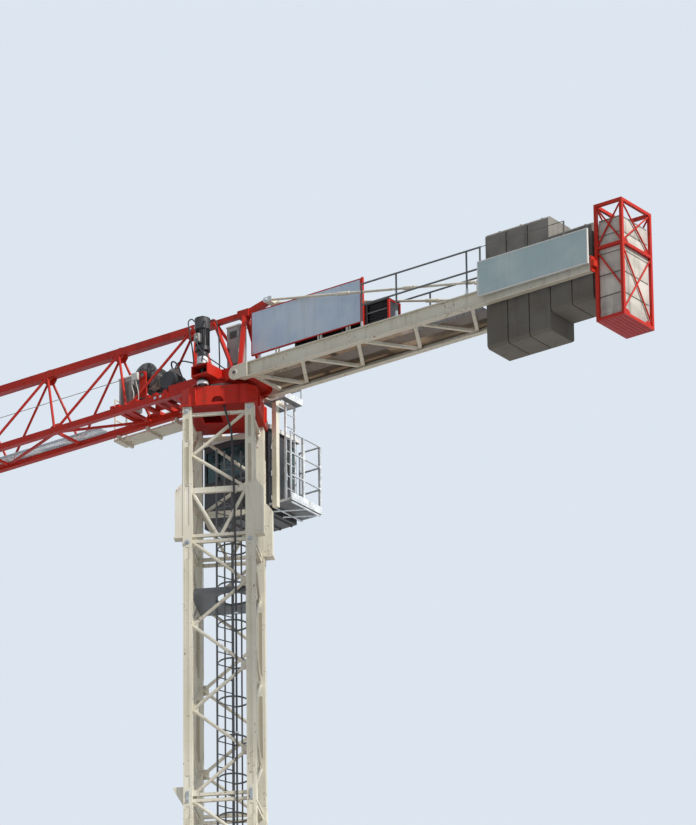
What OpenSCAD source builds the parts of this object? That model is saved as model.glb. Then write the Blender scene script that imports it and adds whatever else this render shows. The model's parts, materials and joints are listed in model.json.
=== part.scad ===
// Flat-top tower crane: a lattice mast on a bolted base frame, a slewing ring with its turntable,
// a triangular jib, and a counterjib with its ballast. Millimetres; +X runs along the jib, +Z is up,
// and the origin is on the mast's axis at ground level.

/* [Base frame] */
// Height of the joint between the base frame and the first section
stub_h = 600; // [500:10:800]
// Thickness of the plate that stands on the ground
base_plate_t = 40; // [30:1:60]
// Width of a corner pad
pad_w = 560; // [520:5:620]
// Width of the plate between the corner pads
base_strip_w = 240; // [210:5:280]
// Diameter of an anchor bolt's hole
anchor_d = 45; // [36:1:52]
// Diameter of the circle of anchor bolts round a leg
anchor_pcd = 560; // [530:5:600]
// Height of the beams between the corner legs
base_beam_h = 260; // [200:5:320]

/* [Mast] */
// Width over the mast's legs
mast_w = 1600; // [1560:5:1640]
// Width of a box leg
leg_w = 200; // [180:5:220]
// Height of a standard section
section_h = 6080; // [5900:20:6200]
// Height of the support section at the top of the mast
support_h = 3050; // [2950:10:3150]
// Diameter of a lacing tube
lace_d = 76; // [60:2:90]
// Side of the horizontal bar at each end of a section
joint_bar = 70; // [50:2:80]
// Turn of the mast under the jib in degrees
mast_turn = 27.9; // [24:0.1:32]
// Depth of the groove along the outer faces of a leg
groove_t = 10; // [6:1:16]
// Width of the fishplates at a joint
joint_plate_w = 60; // [50:2:80]
// Height of the fishplates at a joint
joint_plate_h = 260; // [230:5:300]
// Diameter of the head of a horizontal pin
pin_head_d = 110; // [90:2:120]

/* [Climbing consoles] */
// Reach of a console out of the leg
console_out = 180; // [150:5:190]
// Height of a console
console_h = 1250; // [1100:10:1260]
// Width of the climbing strip on a leg
strip_w = 115; // [90:5:130]

/* [Ladder and landings] */
// Width of the ladder over its rails
ladder_w = 440; // [400:10:480]
// Distance between two rungs
rung_pitch = 300; // [250:10:330]
// Radius of the hoops round the climber
hoop_r = 330; // [300:5:345]
// Distance from a section's joint down to its landing
landing_drop = 1290; // [1200:10:1400]
// Diameter of the power cable
cable_d = 46; // [36:2:50]

/* [Ring support and slewing ring] */
// Outer diameter of the slewing ring
ring_d = 1470; // [1400:10:1480]
// Height of each half of the slewing ring
ring_h = 95; // [80:1:110]
// Height of the ring support over the mast
support_ring_h = 450; // [420:5:480]
// Reach of the ring support past the mast's outer faces
support_ring_lip = 50; // [30:1:55]
// Radius of the arch in the ring support's wall
arch_r = 140; // [110:5:170]

/* [Turntable and tower head] */
// Height of the turntable's side beams
turntable_h = 280; // [260:5:300]
// Distance between the two counterjib beams, on their centres
cj_beam_pitch = 1200; // [1180:5:1220]
// Height of the jib's top chord over the mast's top pins
top_chord_z = 2480; // [2450:10:2520]
// Height of the jib's bottom chords over the mast's top pins
bottom_chord_z = 805; // [795:5:820]

/* [Jib] */
// Length of a bay
bay = 2050; // [2030:5:2080]
// Width between the bottom chords, on their centres
jib_w = 960; // [940:5:970]
// Side of the top chord
top_chord_w = 180; // [170:5:190]
// Side of a bottom chord
bottom_chord_w = 140; // [130:5:150]
// Diameter of a jib lacing tube
jib_lace_d = 64; // [50:2:68]
// Position of the first top node along the jib
node_x = 880; // [870:5:900]
// Distance that a bottom node lies behind its top node
node_lag = 550; // [540:5:560]

/* [Hoist winch] */
// Diameter of the drum's flanges
drum_flange_d = 660; // [600:5:680]
// Diameter of the drum with its rope
drum_d = 400; // [340:5:440]
// Length of the drum between its flanges
drum_len = 420; // [380:5:430]
// Position of the drum's axis along the jib
drum_x = 2040; // [2030:2:2050]
// Height of the drum's axis over the mast's top pins
drum_z = 1600; // [1580:5:1620]

/* [Counterjib] */
// Height of a counterjib beam
cj_beam_h = 350; // [330:2:360]
// Width of a counterjib beam
cj_beam_w = 140; // [130:2:150]
// Diameter of the pins at the counterjib's root
root_pin_d = 70; // [60:2:80]
// Height of the handrail over the beams
rail_h = 1050; // [1000:10:1150]
// Diameter of a tie bar
tie_d = 56; // [44:2:60]

/* [Ballast] */
// Thickness of a ballast block along the counterjib
block_t = 540; // [500:5:545]
// Width of a ballast block across the counterjib
block_w = 900; // [860:5:940]
// Height of a tall block
tall_block_h = 2720; // [2600:10:2800]
// Height of a short block
short_block_h = 1820; // [1700:10:1900]

/* [Cab] */
// Length of the cab along the jib
cab_l = 1800; // [1780:5:1850]
// Width of the cab
cab_w = 1050; // [1030:5:1100]
// Height of the cab
cab_h = 2080; // [2060:5:2100]

/* [Hidden] */
section_count = 3;
bays = 6;
lace_bays = 6;             // diagonals on one face of a standard section
leg_c = (mast_w - leg_w) / 2;
leg_in = leg_c - leg_w / 2;
pin_z = stub_h + section_count * section_h + support_h;
leg_top = 100;             // the legs' ends over the top pins
flat = cos(22.5);          // half width of an eight-sided bar over its radius
post_d = 42;               // tube of every handrail
red = [0.72, 0.11, 0.05];
cream = [0.86, 0.84, 0.76];
concrete = [0.5, 0.49, 0.47];
black = [0.06, 0.06, 0.07];
galvanised = [0.55, 0.57, 0.58];

// Ladder of the mast
ladder_rail = [20, 50];    // thickness and width of a rail
hoop_y = hoop_r * 0.95;

// Places over the mast's top pins
bearing_gap = 0.3;
seat_gap = 0.3;            // between a bolted piece and the chord that carries it
support_ring_w = mast_w + 2 * support_ring_lip;
ring_z = leg_top + support_ring_h;
ring_bore = ring_d - 260;
table_z = ring_z + 2 * (ring_h + bearing_gap);
table_top = table_z + turntable_h;
table_y = 460;             // middle of the turntable's side beams
table_beam_w = 140;
table_front = 1150;
table_rear = -880;
motor_at = [-70, 870];     // axis of the slewing drive
motor_bore = 104;
head_root = 780;           // where the jib's top chord starts
horn_x = -1240;
horn_z = 2620;
chord_top = bottom_chord_z + bottom_chord_w / 2;
winch_deck = chord_top + 80;
nose_x = node_x + bays * bay;
cj_z = 775;                // middle of the counterjib beams
cj_top = cj_z + cj_beam_h / 2;
cj_floor = 700;            // top of the counterjib's bracing, under its deck
bearer_top = cj_top - 10;
cj_end = -10380;
cj_web = 16;
cj_flange = 22;
root_pin = [-820, 770];
tongue_t = 60;
cj_brace_near = [-1150, -2620, -4150, -5680, -7210];
cj_brace_far = [-1870, -3420, -4980, -6520];
cj_bearers = [-1050, -2750, -3460, -4500];
deck_x = [-7300, -1210];
handrail_x = [-4290, -5230, -7120, -7480, -9700];
handrail_y = cj_beam_pitch / 2 + 40;
bank_x = [-4590, -2000];   // the resistor bank, beside the walkway
bank_y = [-420, 30];
bank_top = 1800;
board_x = [-3870, -860];   // the name board over the walkway
board_z = [1380, 2420];
side_board_x = [-10350, -7470];
side_board_z = [780, 1590];
board_t = 30;
block_x = -7500;           // front face of the first ballast block
block_pitch = 565;
tall_block_z = -380;
short_block_z = 50;
cage_x = [-11110, -10450]; // centres of the end cage's posts
cage_y = [-580, 500];
cage_z = [-530, 1150, 2160];
cage_t = 70;
cage_fill = 1815;
cage_floor = cage_z[0] - cage_t / 2 + 30;
catwalk_x = [1500, 3540];
catwalk_y = -1010;
catwalk_z = 700;
lug_x = -7410;             // where a tie meets its lug
lug_y = cj_beam_pitch / 2 - 40;
cab_x = -300;              // rear face of the cab
cab_y = -1250;             // face of the cab beside the mast
cab_z = -1780;
cab_wall = 50;
cab_roof = 100;
balcony_z = -1600;
arm_x = -492;              // rear face of the arm that carries the cab's post
disc_t = 40;               // plate under the turntable's beams
arm_z = table_z + disc_t + 10;

function node_bottom(i) = node_x - node_lag + i * bay;

// Openings of the cab in one of its walls: [start, end, foot, head] over the cab's own corner
SIDE_WINDOWS = [[600, 1400, 1070, 1830], [1460, 1740, 1070, 1830]];
FRONT_WINDOW = [80, 970, 180, 1880];
DOOR = [340, 980, 50, 1850];
REAR_WINDOW = [60, 280, 880, 1830];

// Round bar between two points, with few sides
module rod(a, b, d, sides = 8) {
    v = b - a;
    translate(a)
        rotate([0, acos(v.z / norm(v)), atan2(v.y, v.x)])
            rotate([0, 0, 180 / sides])
                cylinder(d = d, h = norm(v), $fn = sides);
}

// Flat or square bar between two points: w across and t in the upright plane
module bar(a, b, w, t) {
    v = b - a;
    translate(a)
        rotate([0, -asin(v.z / norm(v)), atan2(v.y, v.x)])
            translate([0, -w / 2, -t / 2])
                cube([norm(v), w, t]);
}

// Eight-sided tube along a route of [x, z] points in the plane y = 0, flat towards y
module flat_sweep(route, d) {
    sides = 8;
    n = len(route);
    rings = [for (i = [0:n - 1], k = [0:sides - 1])
        let (
            v = route[min(i + 1, n - 1)] - route[max(i - 1, 0)],
            angle = (k + 0.5) * 360 / sides,
            across = [-v.y, v.x] / norm(v) * d / 2 * cos(angle)
        )
        [route[i].x + across.x, d / 2 * sin(angle), route[i].y + across.y]];
    polyhedron(rings, concat(
        [[for (k = [0:sides - 1]) k]],
        [[for (k = [sides - 1:-1:0]) (n - 1) * sides + k]],
        [for (i = [0:n - 2], k = [0:sides - 1])
            let (next = (k + 1) % sides)
            [i * sides + k, (i + 1) * sides + k, (i + 1) * sides + next, i * sides + next]]
    ));
}

// Box that stands on "at", centred on it in plan
module block(size, at) {
    translate(at) translate([-size.x / 2, -size.y / 2, 0]) cube(size);
}

// Box between two corners
module box(a, b) {
    translate(a) cube(b - a);
}

// Plate of thickness t across y, from a shape drawn in [x, z]
module upright(y, t) {
    translate([0, y, 0]) rotate([90, 0, 0]) linear_extrude(t, center = true) children();
}

module both_sides() {
    children();
    mirror([0, 1, 0]) children();
}

module on_mast() {
    rotate([0, 0, mast_turn]) children();
}

module over_pins() {
    translate([0, 0, pin_z]) children();
}

module base_frame() {
    beam_l = 2 * leg_c - leg_w;
    color(cream) on_mast() {
        difference() {
            linear_extrude(base_plate_t) difference() {
                union() {
                    square(2 * leg_c + base_strip_w, center = true);
                    for (x = [-1, 1], y = [-1, 1])
                        translate([x * leg_c, y * leg_c]) square(pad_w, center = true);
                }
                difference() {
                    square(2 * leg_c - base_strip_w, center = true);
                    for (x = [-1, 1], y = [-1, 1])
                        translate([x * leg_c, y * leg_c]) square(pad_w, center = true);
                }
            }
            for (x = [-1, 1], y = [-1, 1], k = [0:3])
                translate([x * leg_c, y * leg_c, -1])
                    rotate([0, 0, 45 + 90 * k])
                        translate([anchor_pcd / 2, 0, 0])
                            cylinder(d = anchor_d, h = base_plate_t + 2, $fn = 48);
        }
        for (x = [-1, 1], y = [-1, 1]) {
            block([leg_w, leg_w, stub_h - base_plate_t], [x * leg_c, y * leg_c, base_plate_t]);
            // ribs from the leg to the pad's outer edges
            for (turn = [0, 90])
                translate([x * leg_c, y * leg_c, base_plate_t])
                    mirror([x < 0 ? 1 : 0, 0, 0]) mirror([0, y < 0 ? 1 : 0, 0])
                        rotate([90, 0, turn]) translate([0, 0, -10])
                            linear_extrude(20) polygon([
                                [leg_w / 2 - 5, 0], [pad_w / 2 - 20, 0], [leg_w / 2 - 5, 320]
                            ]);
        }
        for (turn = [0:90:270])
            rotate([0, 0, turn]) translate([0, leg_c, 0])
                block([beam_l, leg_w - 40, base_beam_h], [0, 0, base_plate_t]);
    }
}

// A box leg with a groove along its two outer faces, from z0 to z1
module leg(sx, sy, z0, z1, end = 220) {
    groove_l = z1 - z0 - 2 * end;
    translate([sx * leg_c, sy * leg_c, z0]) difference() {
        block([leg_w, leg_w, z1 - z0], [0, 0, 0]);
        translate([sx * leg_w / 2, 0, end])
            block([2 * groove_t, leg_w / 2.4, groove_l], [0, 0, 0]);
        translate([0, sy * leg_w / 2, end])
            block([leg_w / 2.4, 2 * groove_t, groove_l], [0, 0, 0]);
    }
}

// A zigzag of tubes in the plane y = 0, from the top down, starting on the side "first"
module zigzag(z_top, height, n, half, d, first = 1) {
    for (i = [0:n - 1])
        rod([first * pow(-1, i) * half, 0, z_top - i * height / n],
            [-first * pow(-1, i) * half, 0, z_top - (i + 1) * height / n], d);
}

// Two legs with their lacing, on the near side for sy = 1 and the far side for sy = -1
module flat_frame(sy, z0) {
    for (sx = [-1, 1])
        leg(sx, sy, z0, z0 + section_h);
    translate([0, sy * leg_c, z0]) {
        zigzag(section_h - joint_bar, section_h - 2 * joint_bar, lace_bays, leg_in, lace_d, sy);
        for (z = [joint_bar, section_h - joint_bar])
            bar([-leg_c, 0, z], [leg_c, 0, z], joint_bar, joint_bar);
    }
}

// Keeps what lies between the near and far legs
module between_legs(z0, height) {
    intersection() {
        children();
        translate([-mast_w, -leg_in, z0]) cube([2 * mast_w, 2 * leg_in, height]);
    }
}

module side_lacing(z0) {
    between_legs(z0, section_h)
        for (sx = [-1, 1])
            translate([sx * leg_c, 0, z0]) rotate([0, 0, 90]) {
                zigzag(section_h - joint_bar, section_h - 2 * joint_bar, lace_bays, leg_in, lace_d, 1);
                for (z = [joint_bar, section_h - joint_bar])
                    bar([-leg_c, 0, z], [leg_c, 0, z], joint_bar, joint_bar);
            }
}

module section_frames(n) {
    color(cream) on_mast()
        for (sy = [-1, 1])
            flat_frame(sy, stub_h + (n - 1) * section_h);
}

module section_sides(n) {
    color(cream) on_mast() side_lacing(stub_h + (n - 1) * section_h);
}

// The bracing of one face of the support section, with its top at z = 0
module support_lacing(s) {
    beam_z = -1900;
    beam_t = 130;
    knee_z = -1050;
    foot_z = -support_h + joint_bar;
    bar([-leg_c, 0, -joint_bar], [leg_c, 0, -joint_bar], joint_bar, joint_bar);
    rod([-s * leg_in, 0, -joint_bar], [s * leg_in, 0, knee_z], lace_d);
    rod([s * leg_in, 0, knee_z], [-s * leg_in, 0, beam_z + 20], lace_d);
    bar([-leg_c, 0, beam_z], [leg_c, 0, beam_z], joint_bar, beam_t);
    for (side = [-1, 1])
        rod([side * leg_in, 0, beam_z - 20], [side * 40, 0, foot_z], lace_d);
    bar([-leg_c, 0, foot_z], [leg_c, 0, foot_z], joint_bar, joint_bar);
}

module support_frames() {
    color(cream) on_mast() over_pins()
        for (sy = [-1, 1]) {
            for (sx = [-1, 1])
                leg(sx, sy, -support_h, leg_top, 300);
            translate([0, sy * leg_c, 0]) support_lacing(sy);
        }
}

module support_sides() {
    color(cream) on_mast() over_pins() between_legs(-support_h, support_h)
        for (sx = [-1, 1])
            translate([sx * leg_c, 0, 0]) rotate([0, 0, 90]) support_lacing(1);
}

module climbing_consoles() {
    flange_t = 40;
    toe = 60;
    slope_h = 160;
    strip_t = 20;
    strip_top = -680;
    strip_foot = -support_h + flange_t + console_h;
    hole_pitch = 360;
    wing = [240, 270, -190];   // reach, rise and drop of the plate at the upper joint
    color(cream) on_mast() {
        over_pins() for (sx = [-1, 1], sy = [-1, 1])
            translate([sx * mast_w / 2, sy * leg_c, 0]) mirror([sx < 0 ? 1 : 0, 0, 0]) {
                translate([0, 0, -support_h + flange_t]) {
                    upright(0, leg_w - 20) polygon([
                        [0, 0], [console_out, 0], [console_out, console_h - slope_h],
                        [toe, console_h], [0, console_h]
                    ]);
                    translate([0, -leg_w / 2 - 15, -flange_t + 10])
                        cube([console_out + 25, leg_w + 30, flange_t - 5]);
                }
                difference() {
                    box([0, -strip_w / 2, strip_foot - 10], [strip_t, strip_w / 2, strip_top]);
                    for (z = [strip_top - 120:-hole_pitch:strip_foot + 60])
                        translate([-1, 0, z]) rotate([0, 90, 0])
                            cylinder(d = 56, h = strip_t + 2, $fn = 32);
                }
            }
        translate([mast_w / 2, leg_c, stub_h + (section_count - 1) * section_h])
            upright(0, strip_t) polygon([[0, wing.z], [wing.x, wing.y - 40], [wing.x, wing.y], [0, wing.y]]);
    }
}

module joint_pins() {
    plate_t = 18;
    bolt_d = 34;
    pin_drop = 100;
    color(galvanised) on_mast() {
        for (k = [0:section_count - 1], sx = [-1, 1], sy = [-1, 1])
            translate([sx * leg_c, sy * mast_w / 2, stub_h + k * section_h])
                mirror([0, sy < 0 ? 1 : 0, 0]) {
                    block([joint_plate_w, plate_t, joint_plate_h], [0, plate_t / 2, -joint_plate_h / 2]);
                    for (z = [-80, 80])
                        translate([0, plate_t - 1, z]) rotate([-90, 0, 0])
                            cylinder(d = bolt_d, h = 20, $fn = 24);
                }
        for (z = [pin_z, pin_z - support_h - pin_drop], sx = [-1, 1], sy = [-1, 1])
            translate([sx * leg_c, sy * mast_w / 2, z]) rotate([-90 * sy, 0, 0]) {
                cylinder(d = pin_head_d, h = 12, $fn = 32);
                cylinder(d = pin_head_d - 40, h = 40, $fn = 32);
            }
    }
}

// The ladder's frame: its own x runs along the rungs and the climber is on its y side
module on_ladder() {
    on_mast() rotate([0, 0, 45]) children();
}

module mast_ladder() {
    foot = 320;
    head = pin_z - 700;
    hoop_from = foot + 2200;
    hoop_to = head - 200;
    hoop_pitch = 900;
    strap_w = 40;
    strap_t = 8;
    open_y = 70;               // where a hoop leaves its two straight ends
    open_x = sqrt(pow(hoop_r, 2) - pow(hoop_y - open_y, 2));
    color(galvanised) on_ladder() {
        for (x = [-1, 1])
            translate([x * (ladder_w / 2 - ladder_rail.x / 2), 0, 0])
                block([ladder_rail.x, ladder_rail.y, head - foot], [0, 0, foot]);
        for (z = [foot + 150:rung_pitch:head - 100])
            rod([-ladder_w / 2 + ladder_rail.x / 2, 0, z], [ladder_w / 2 - ladder_rail.x / 2, 0, z], 26, 6);
        for (z = [hoop_from:hoop_pitch:hoop_to]) {
            translate([0, hoop_y, z]) difference() {
                cylinder(r = hoop_r, h = strap_w, $fn = 32);
                translate([0, 0, -1]) cylinder(r = hoop_r - strap_t, h = strap_w + 2, $fn = 32);
                translate([-hoop_r, -hoop_y - hoop_r, -1]) cube([2 * hoop_r, hoop_r + open_y, strap_w + 2]);
            }
            for (x = [-1, 1])
                bar([x * (ladder_w / 2 - ladder_rail.x / 2), 10, z + strap_w / 2],
                    [x * open_x, open_y + 6, z + strap_w / 2], strap_t, strap_w - 8);
        }
        for (angle = [20:35:160])
            translate([0, hoop_y, hoop_from]) rotate([0, 0, angle])
                translate([hoop_r - strap_t - 6, -strap_w / 2, 0])
                    cube([8, strap_w, hoop_to - hoop_from]);
    }
}

// Landings between the legs; the ladder's rails lie against the straight edge of each hatch
module landings() {
    plate_t = 30;
    side = 2 * (leg_in + (leg_w - lace_d) / 2 - 12);
    hatch_r = hoop_r + 40;
    color(galvanised) on_mast()
        for (k = [1:section_count])
            translate([0, 0, stub_h + k * section_h - landing_drop])
                linear_extrude(plate_t) difference() {
                    square(side, center = true);
                    for (sx = [-1, 1], sy = [-1, 1])
                        translate([sx * leg_c, sy * leg_c]) square(leg_w, center = true);
                    rotate([0, 0, 45]) {
                        translate([0, hoop_y]) circle(r = hatch_r, $fn = 40);
                        translate([-ladder_w / 2 - 20, -ladder_rail.y / 2]) square([ladder_w + 40, hoop_y]);
                    }
                }
}

module power_cable() {
    exit_x = -130;
    run_x = -380;
    y = leg_c + (lace_d + cable_d) / 2 * flat;
    foot = base_plate_t + base_beam_h - pin_z;
    route = [
        [exit_x, 300], [exit_x, 60], [-200, -200], [-290, -550], [-330, -1500], [-360, -3000],
        [-375, -4500], [run_x, -9000], [run_x, foot]
    ];
    color(black) on_mast() over_pins() translate([0, y, 0]) flat_sweep(route, cable_d);
}

// Square of half width h with its corners cut off
module corner_cut(h, cut) {
    polygon([
        [h, h - cut], [h - cut, h], [cut - h, h], [-h, h - cut],
        [-h, cut - h], [cut - h, -h], [h - cut, -h], [h, cut - h]
    ]);
}

module ring_support() {
    half = support_ring_w / 2;
    plate = 25;
    wall = 30;
    cut = 200;
    arch_x = 10;
    arch_z = 60;
    manhole = [420, 500];
    manhole_at = [250, 40];
    cable_y = leg_c + (lace_d + cable_d) / 2 * flat;
    color(red) on_mast() over_pins() translate([0, 0, leg_top]) difference() {
        union() {
            block([2 * half, 2 * half, plate], [0, 0, 0]);
            linear_extrude(support_ring_h) difference() {
                corner_cut(half, cut);
                corner_cut(half - wall, cut - 0.6 * wall);
            }
            translate([0, 0, support_ring_h - plate]) linear_extrude(plate) corner_cut(half, cut);
        }
        block([manhole.x, manhole.y, 3 * plate], [manhole_at.x, manhole_at.y, -plate]);
        translate([0, 0, support_ring_h - 2 * plate]) cylinder(d = ring_bore, h = 3 * plate, $fn = 96);
        upright(0, 2 * support_ring_w) translate([arch_x, arch_z]) intersection() {
            circle(r = arch_r, $fn = 48);
            translate([-arch_r, 0]) square([2 * arch_r, arch_r]);
        }
        translate([-130, cable_y, -1]) cylinder(d = cable_d + 16, h = plate + 2, $fn = 32);
    }
}

module slewing_ring() {
    color(black) over_pins() translate([0, 0, ring_z + bearing_gap]) difference() {
        cylinder(d = ring_d, h = ring_h, $fn = 96);
        translate([0, 0, -1]) cylinder(d = ring_bore, h = ring_h + 2, $fn = 96);
    }
}

// Bracket of the slewing drive, outside the near side beam
module drive_bracket() {
    x0 = motor_at.x - 280;
    x1 = motor_at.x + 170;
    y0 = table_y + table_beam_w / 2 - 5;
    y1 = motor_at.y + 200;
    plate = 20;
    box([x0, y0, table_z + 20], [x1, y1, table_z + 60]);
    box([x0, y0, table_top - plate], [x1, y1, table_top]);
    for (x = [x0, x1 - plate])
        box([x, y0, table_z + 40], [x + plate, y1, table_top - plate / 2]);
}

// Fork for the near counterjib beam's root
module root_fork() {
    cheek = 40;
    eye_r = 110;
    y_mid = cj_beam_pitch / 2;
    y_in = table_y + table_beam_w / 2 - 5;
    y_out = y_mid + tongue_t / 2 + cheek;
    bridge_x = [-640, -540];
    for (y = [[y_in, y_mid - tongue_t / 2], [y_mid + tongue_t / 2, y_out]])
        upright((y[0] + y[1]) / 2, y[1] - y[0]) {
            translate(root_pin) circle(r = eye_r, $fn = 64);
            translate([root_pin.x, root_pin.y - eye_r]) square([bridge_x[1] - root_pin.x, 2 * eye_r]);
        }
    box([bridge_x[0], y_in, root_pin.y - eye_r], [bridge_x[1], y_out, root_pin.y + eye_r]);
}

module turntable() {
    cross_w = 120;
    bearer = [80, 60];
    color(red) over_pins() difference() {
        union() {
            translate([0, 0, table_z - ring_h]) cylinder(d = ring_d - 40, h = ring_h + 1, $fn = 96);
            translate([0, 0, table_z]) cylinder(d = ring_d + 60, h = disc_t, $fn = 96);
            both_sides() {
                box([table_rear, table_y - table_beam_w / 2, table_z],
                    [table_front, table_y + table_beam_w / 2, table_top]);
                root_fork();
            }
            for (x = [table_rear, table_front - cross_w])
                box([x, -table_y, table_z], [x + cross_w, table_y, table_top]);
            // bearers of the cabinet in the tower head
            for (x = [-500, -200])
                box([x - bearer.x / 2, -table_y, table_top - bearer.y], [x + bearer.x / 2, table_y, table_top]);
            drive_bracket();
        }
        translate([0, 0, table_z - ring_h - 1]) cylinder(d = ring_bore, h = ring_h + disc_t + 1.5, $fn = 96);
        translate([motor_at.x, motor_at.y, table_z]) cylinder(d = motor_bore, h = 400, $fn = 48);
        both_sides()
            upright(640, 216) translate(root_pin) circle(d = root_pin_d + 0.6, $fn = 48);
    }
}

module slew_motor() {
    color(black) over_pins() translate([motor_at.x, motor_at.y, 0]) {
        translate([0, 0, 560]) cylinder(d1 = 120, d2 = 244, h = 50, $fn = 48);
        translate([0, 0, 610]) cylinder(d = 244, h = 90, $fn = 48);
        translate([0, 0, 690]) cylinder(d = motor_bore - 4, h = table_top - 680, $fn = 48);
        translate([0, 0, table_top]) cylinder(d = 330, h = 50, $fn = 48);
        translate([0, 0, table_top + 45]) cylinder(d = 240, h = 350, $fn = 48);
        translate([0, 0, table_top + 390]) cylinder(d = 340, h = 90, $fn = 48);
        translate([0, 0, table_top + 475]) cylinder(d = 280, h = 440, $fn = 48);
        translate([0, 0, table_top + 910]) cylinder(d = 350, h = 240, $fn = 48);
    }
}

module tower_head() {
    post = 90;
    brace = 70;
    link = 110;
    rear = [-760, -450];
    front = 200;
    h = top_chord_w / 2;
    color(red) over_pins() difference() {
        union() {
            box([front, -h, top_chord_z - h], [head_root, h, top_chord_z + h]);
            box([rear[0], -h, top_chord_z - h], [rear[1], h, top_chord_z + h]);
            bar([rear[1] - 10, 0, top_chord_z], [front + 10, 0, top_chord_z], link, link);
            upright(0, 120) polygon([
                [rear[0] + 60, top_chord_z - 70], [rear[0] + 60, top_chord_z + 80],
                [horn_x, horn_z + 70], [horn_x, horn_z - 65]
            ]);
            both_sides() {
                bar([720, 45, top_chord_z - 60], [480, table_y, table_top - 70], post, post);
                bar([front + 10, 30, top_chord_z - 20], [-620, table_y, table_top - 70], brace, brace);
                bar([-630, 45, top_chord_z - 60], [-800, table_y, table_top - 70], post, post);
            }
        }
        box([-2000, -1000, 0], [2000, 1000, table_top]);
    }
}

module jib_top_chord() {
    post = 80;
    h = top_chord_w / 2;
    color(red) over_pins() {
        box([head_root, -h, top_chord_z - h], [nose_x + post, h, top_chord_z + h]);
        box([nose_x, -post / 2, bottom_chord_z], [nose_x + post, post / 2, top_chord_z]);
        box([nose_x, -(jib_w + bottom_chord_w) / 2, bottom_chord_z - bottom_chord_w / 2],
            [nose_x + post, (jib_w + bottom_chord_w) / 2, chord_top]);
    }
}

module jib_side() {
    y = jib_w / 2;
    top_y = 50;
    h = bottom_chord_w / 2;
    color(red) over_pins() difference() {
        union() {
            box([table_front, y - h, bottom_chord_z - h], [nose_x - seat_gap, y + h, chord_top]);
            for (i = [0:bays]) {
                t = [node_x + i * bay, top_y, top_chord_z - 40];
                if (i > 0)
                    rod([node_bottom(i), y, bottom_chord_z], t, jib_lace_d, 6);
                if (i < bays)
                    rod(t, [node_bottom(i + 1), y, bottom_chord_z], jib_lace_d, 6);
            }
        }
        box([0, -jib_w, top_chord_z - top_chord_w / 2 - seat_gap], [nose_x + bay, jib_w, top_chord_z + 500]);
        box([nose_x - seat_gap, -jib_w, 0], [nose_x + bay, jib_w, top_chord_z + 500]);
    }
}

module jib_bottom_bracing() {
    half = (jib_w - bottom_chord_w) / 2;
    cross = 60;
    diagonal = 50;
    color(red) over_pins() intersection() {
        for (i = [1:bays]) {
            bar([node_bottom(i), -jib_w, bottom_chord_z], [node_bottom(i), jib_w, bottom_chord_z], cross, cross);
            if (i < bays)
                bar([node_bottom(i), half * pow(-1, i), bottom_chord_z],
                    [node_bottom(i + 1), -half * pow(-1, i), bottom_chord_z], diagonal, diagonal);
        }
        translate([0, -half, 0]) cube([nose_x, 2 * half, 2 * bottom_chord_z]);
    }
}

module winch_catwalk() {
    x0 = catwalk_x[0];
    x1 = catwalk_x[1];
    y_out = catwalk_y;
    y_in = -(jib_w + bottom_chord_w) / 2 - 6;
    top = catwalk_z;
    plate = 40;
    bearer = 60;
    strap = 100;
    rail_y = y_out + 20;
    rail_top = 1720;
    foot = top - plate - bearer;
    chord_foot = bottom_chord_z - bottom_chord_w / 2;
    color(cream) over_pins() {
        box([x0, y_out, top - plate], [x1, y_in, top]);
        for (x = [1700, 2520, 3340]) {
            box([x - bearer / 2, y_out, foot], [x + bearer / 2, y_in + 6 + strap, top - plate + 5]);
            box([x - bearer / 2, y_in + 6, top - plate - 5], [x + bearer / 2, y_in + 6 + strap, chord_foot]);
        }
        for (at = [[x0 + 20, rail_y], [2190, rail_y], [2860, rail_y], [x1 - 20, rail_y], [x1 - 20, y_in - 24]])
            rod([at.x, at.y, top - 20], [at.x, at.y, rail_top - 15], post_d, 6);
        for (z = [1200, rail_top - 20]) {
            rod([x0 + 20, rail_y, z], [x1 - 20, rail_y, z], post_d - 4);
            rod([x1 - 20, rail_y, z], [x1 - 20, y_in - 24, z], post_d - 6);
        }
    }
}

module winch_frame() {
    half = (jib_w + bottom_chord_w) / 2 - 10;
    sill = 60;
    bearing_y = 300;
    bearing_t = 40;
    plate_foot = 108;          // half widths of a bearing plate, clear of the lacing beside it
    plate_head = 80;
    color(red) over_pins() {
        for (x = [1250, 1540, 1750, 2100, 2600, 2750])
            box([x - 50, -half, chord_top + seat_gap], [x + 50, half, winch_deck]);
        both_sides() {
            box([1700, bearing_y - sill / 2, winch_deck - 5], [drum_x + 140, bearing_y + sill / 2, winch_deck + sill]);
            upright(bearing_y, bearing_t) difference() {
                polygon([
                    [drum_x - plate_foot, winch_deck + 10], [drum_x + plate_foot, winch_deck + 10],
                    [drum_x + plate_head, drum_z + plate_head], [drum_x - plate_head, drum_z + plate_head]
                ]);
                translate([drum_x, drum_z]) circle(d = 100.2, $fn = 48);
            }
        }
    }
}

module hoist_drum() {
    shaft_d = 100;
    shaft_l = 700;
    flange_t = 24;
    color(black) over_pins() translate([drum_x, 0, drum_z]) rotate([90, 0, 0]) {
        cylinder(d = drum_d, h = drum_len, center = true, $fn = 64);
        for (y = [-1, 1])
            translate([0, 0, y * drum_len / 2]) cylinder(d = drum_flange_d, h = flange_t, center = true, $fn = 64);
        cylinder(d = shaft_d, h = shaft_l, center = true, $fn = 48);
    }
}

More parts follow.
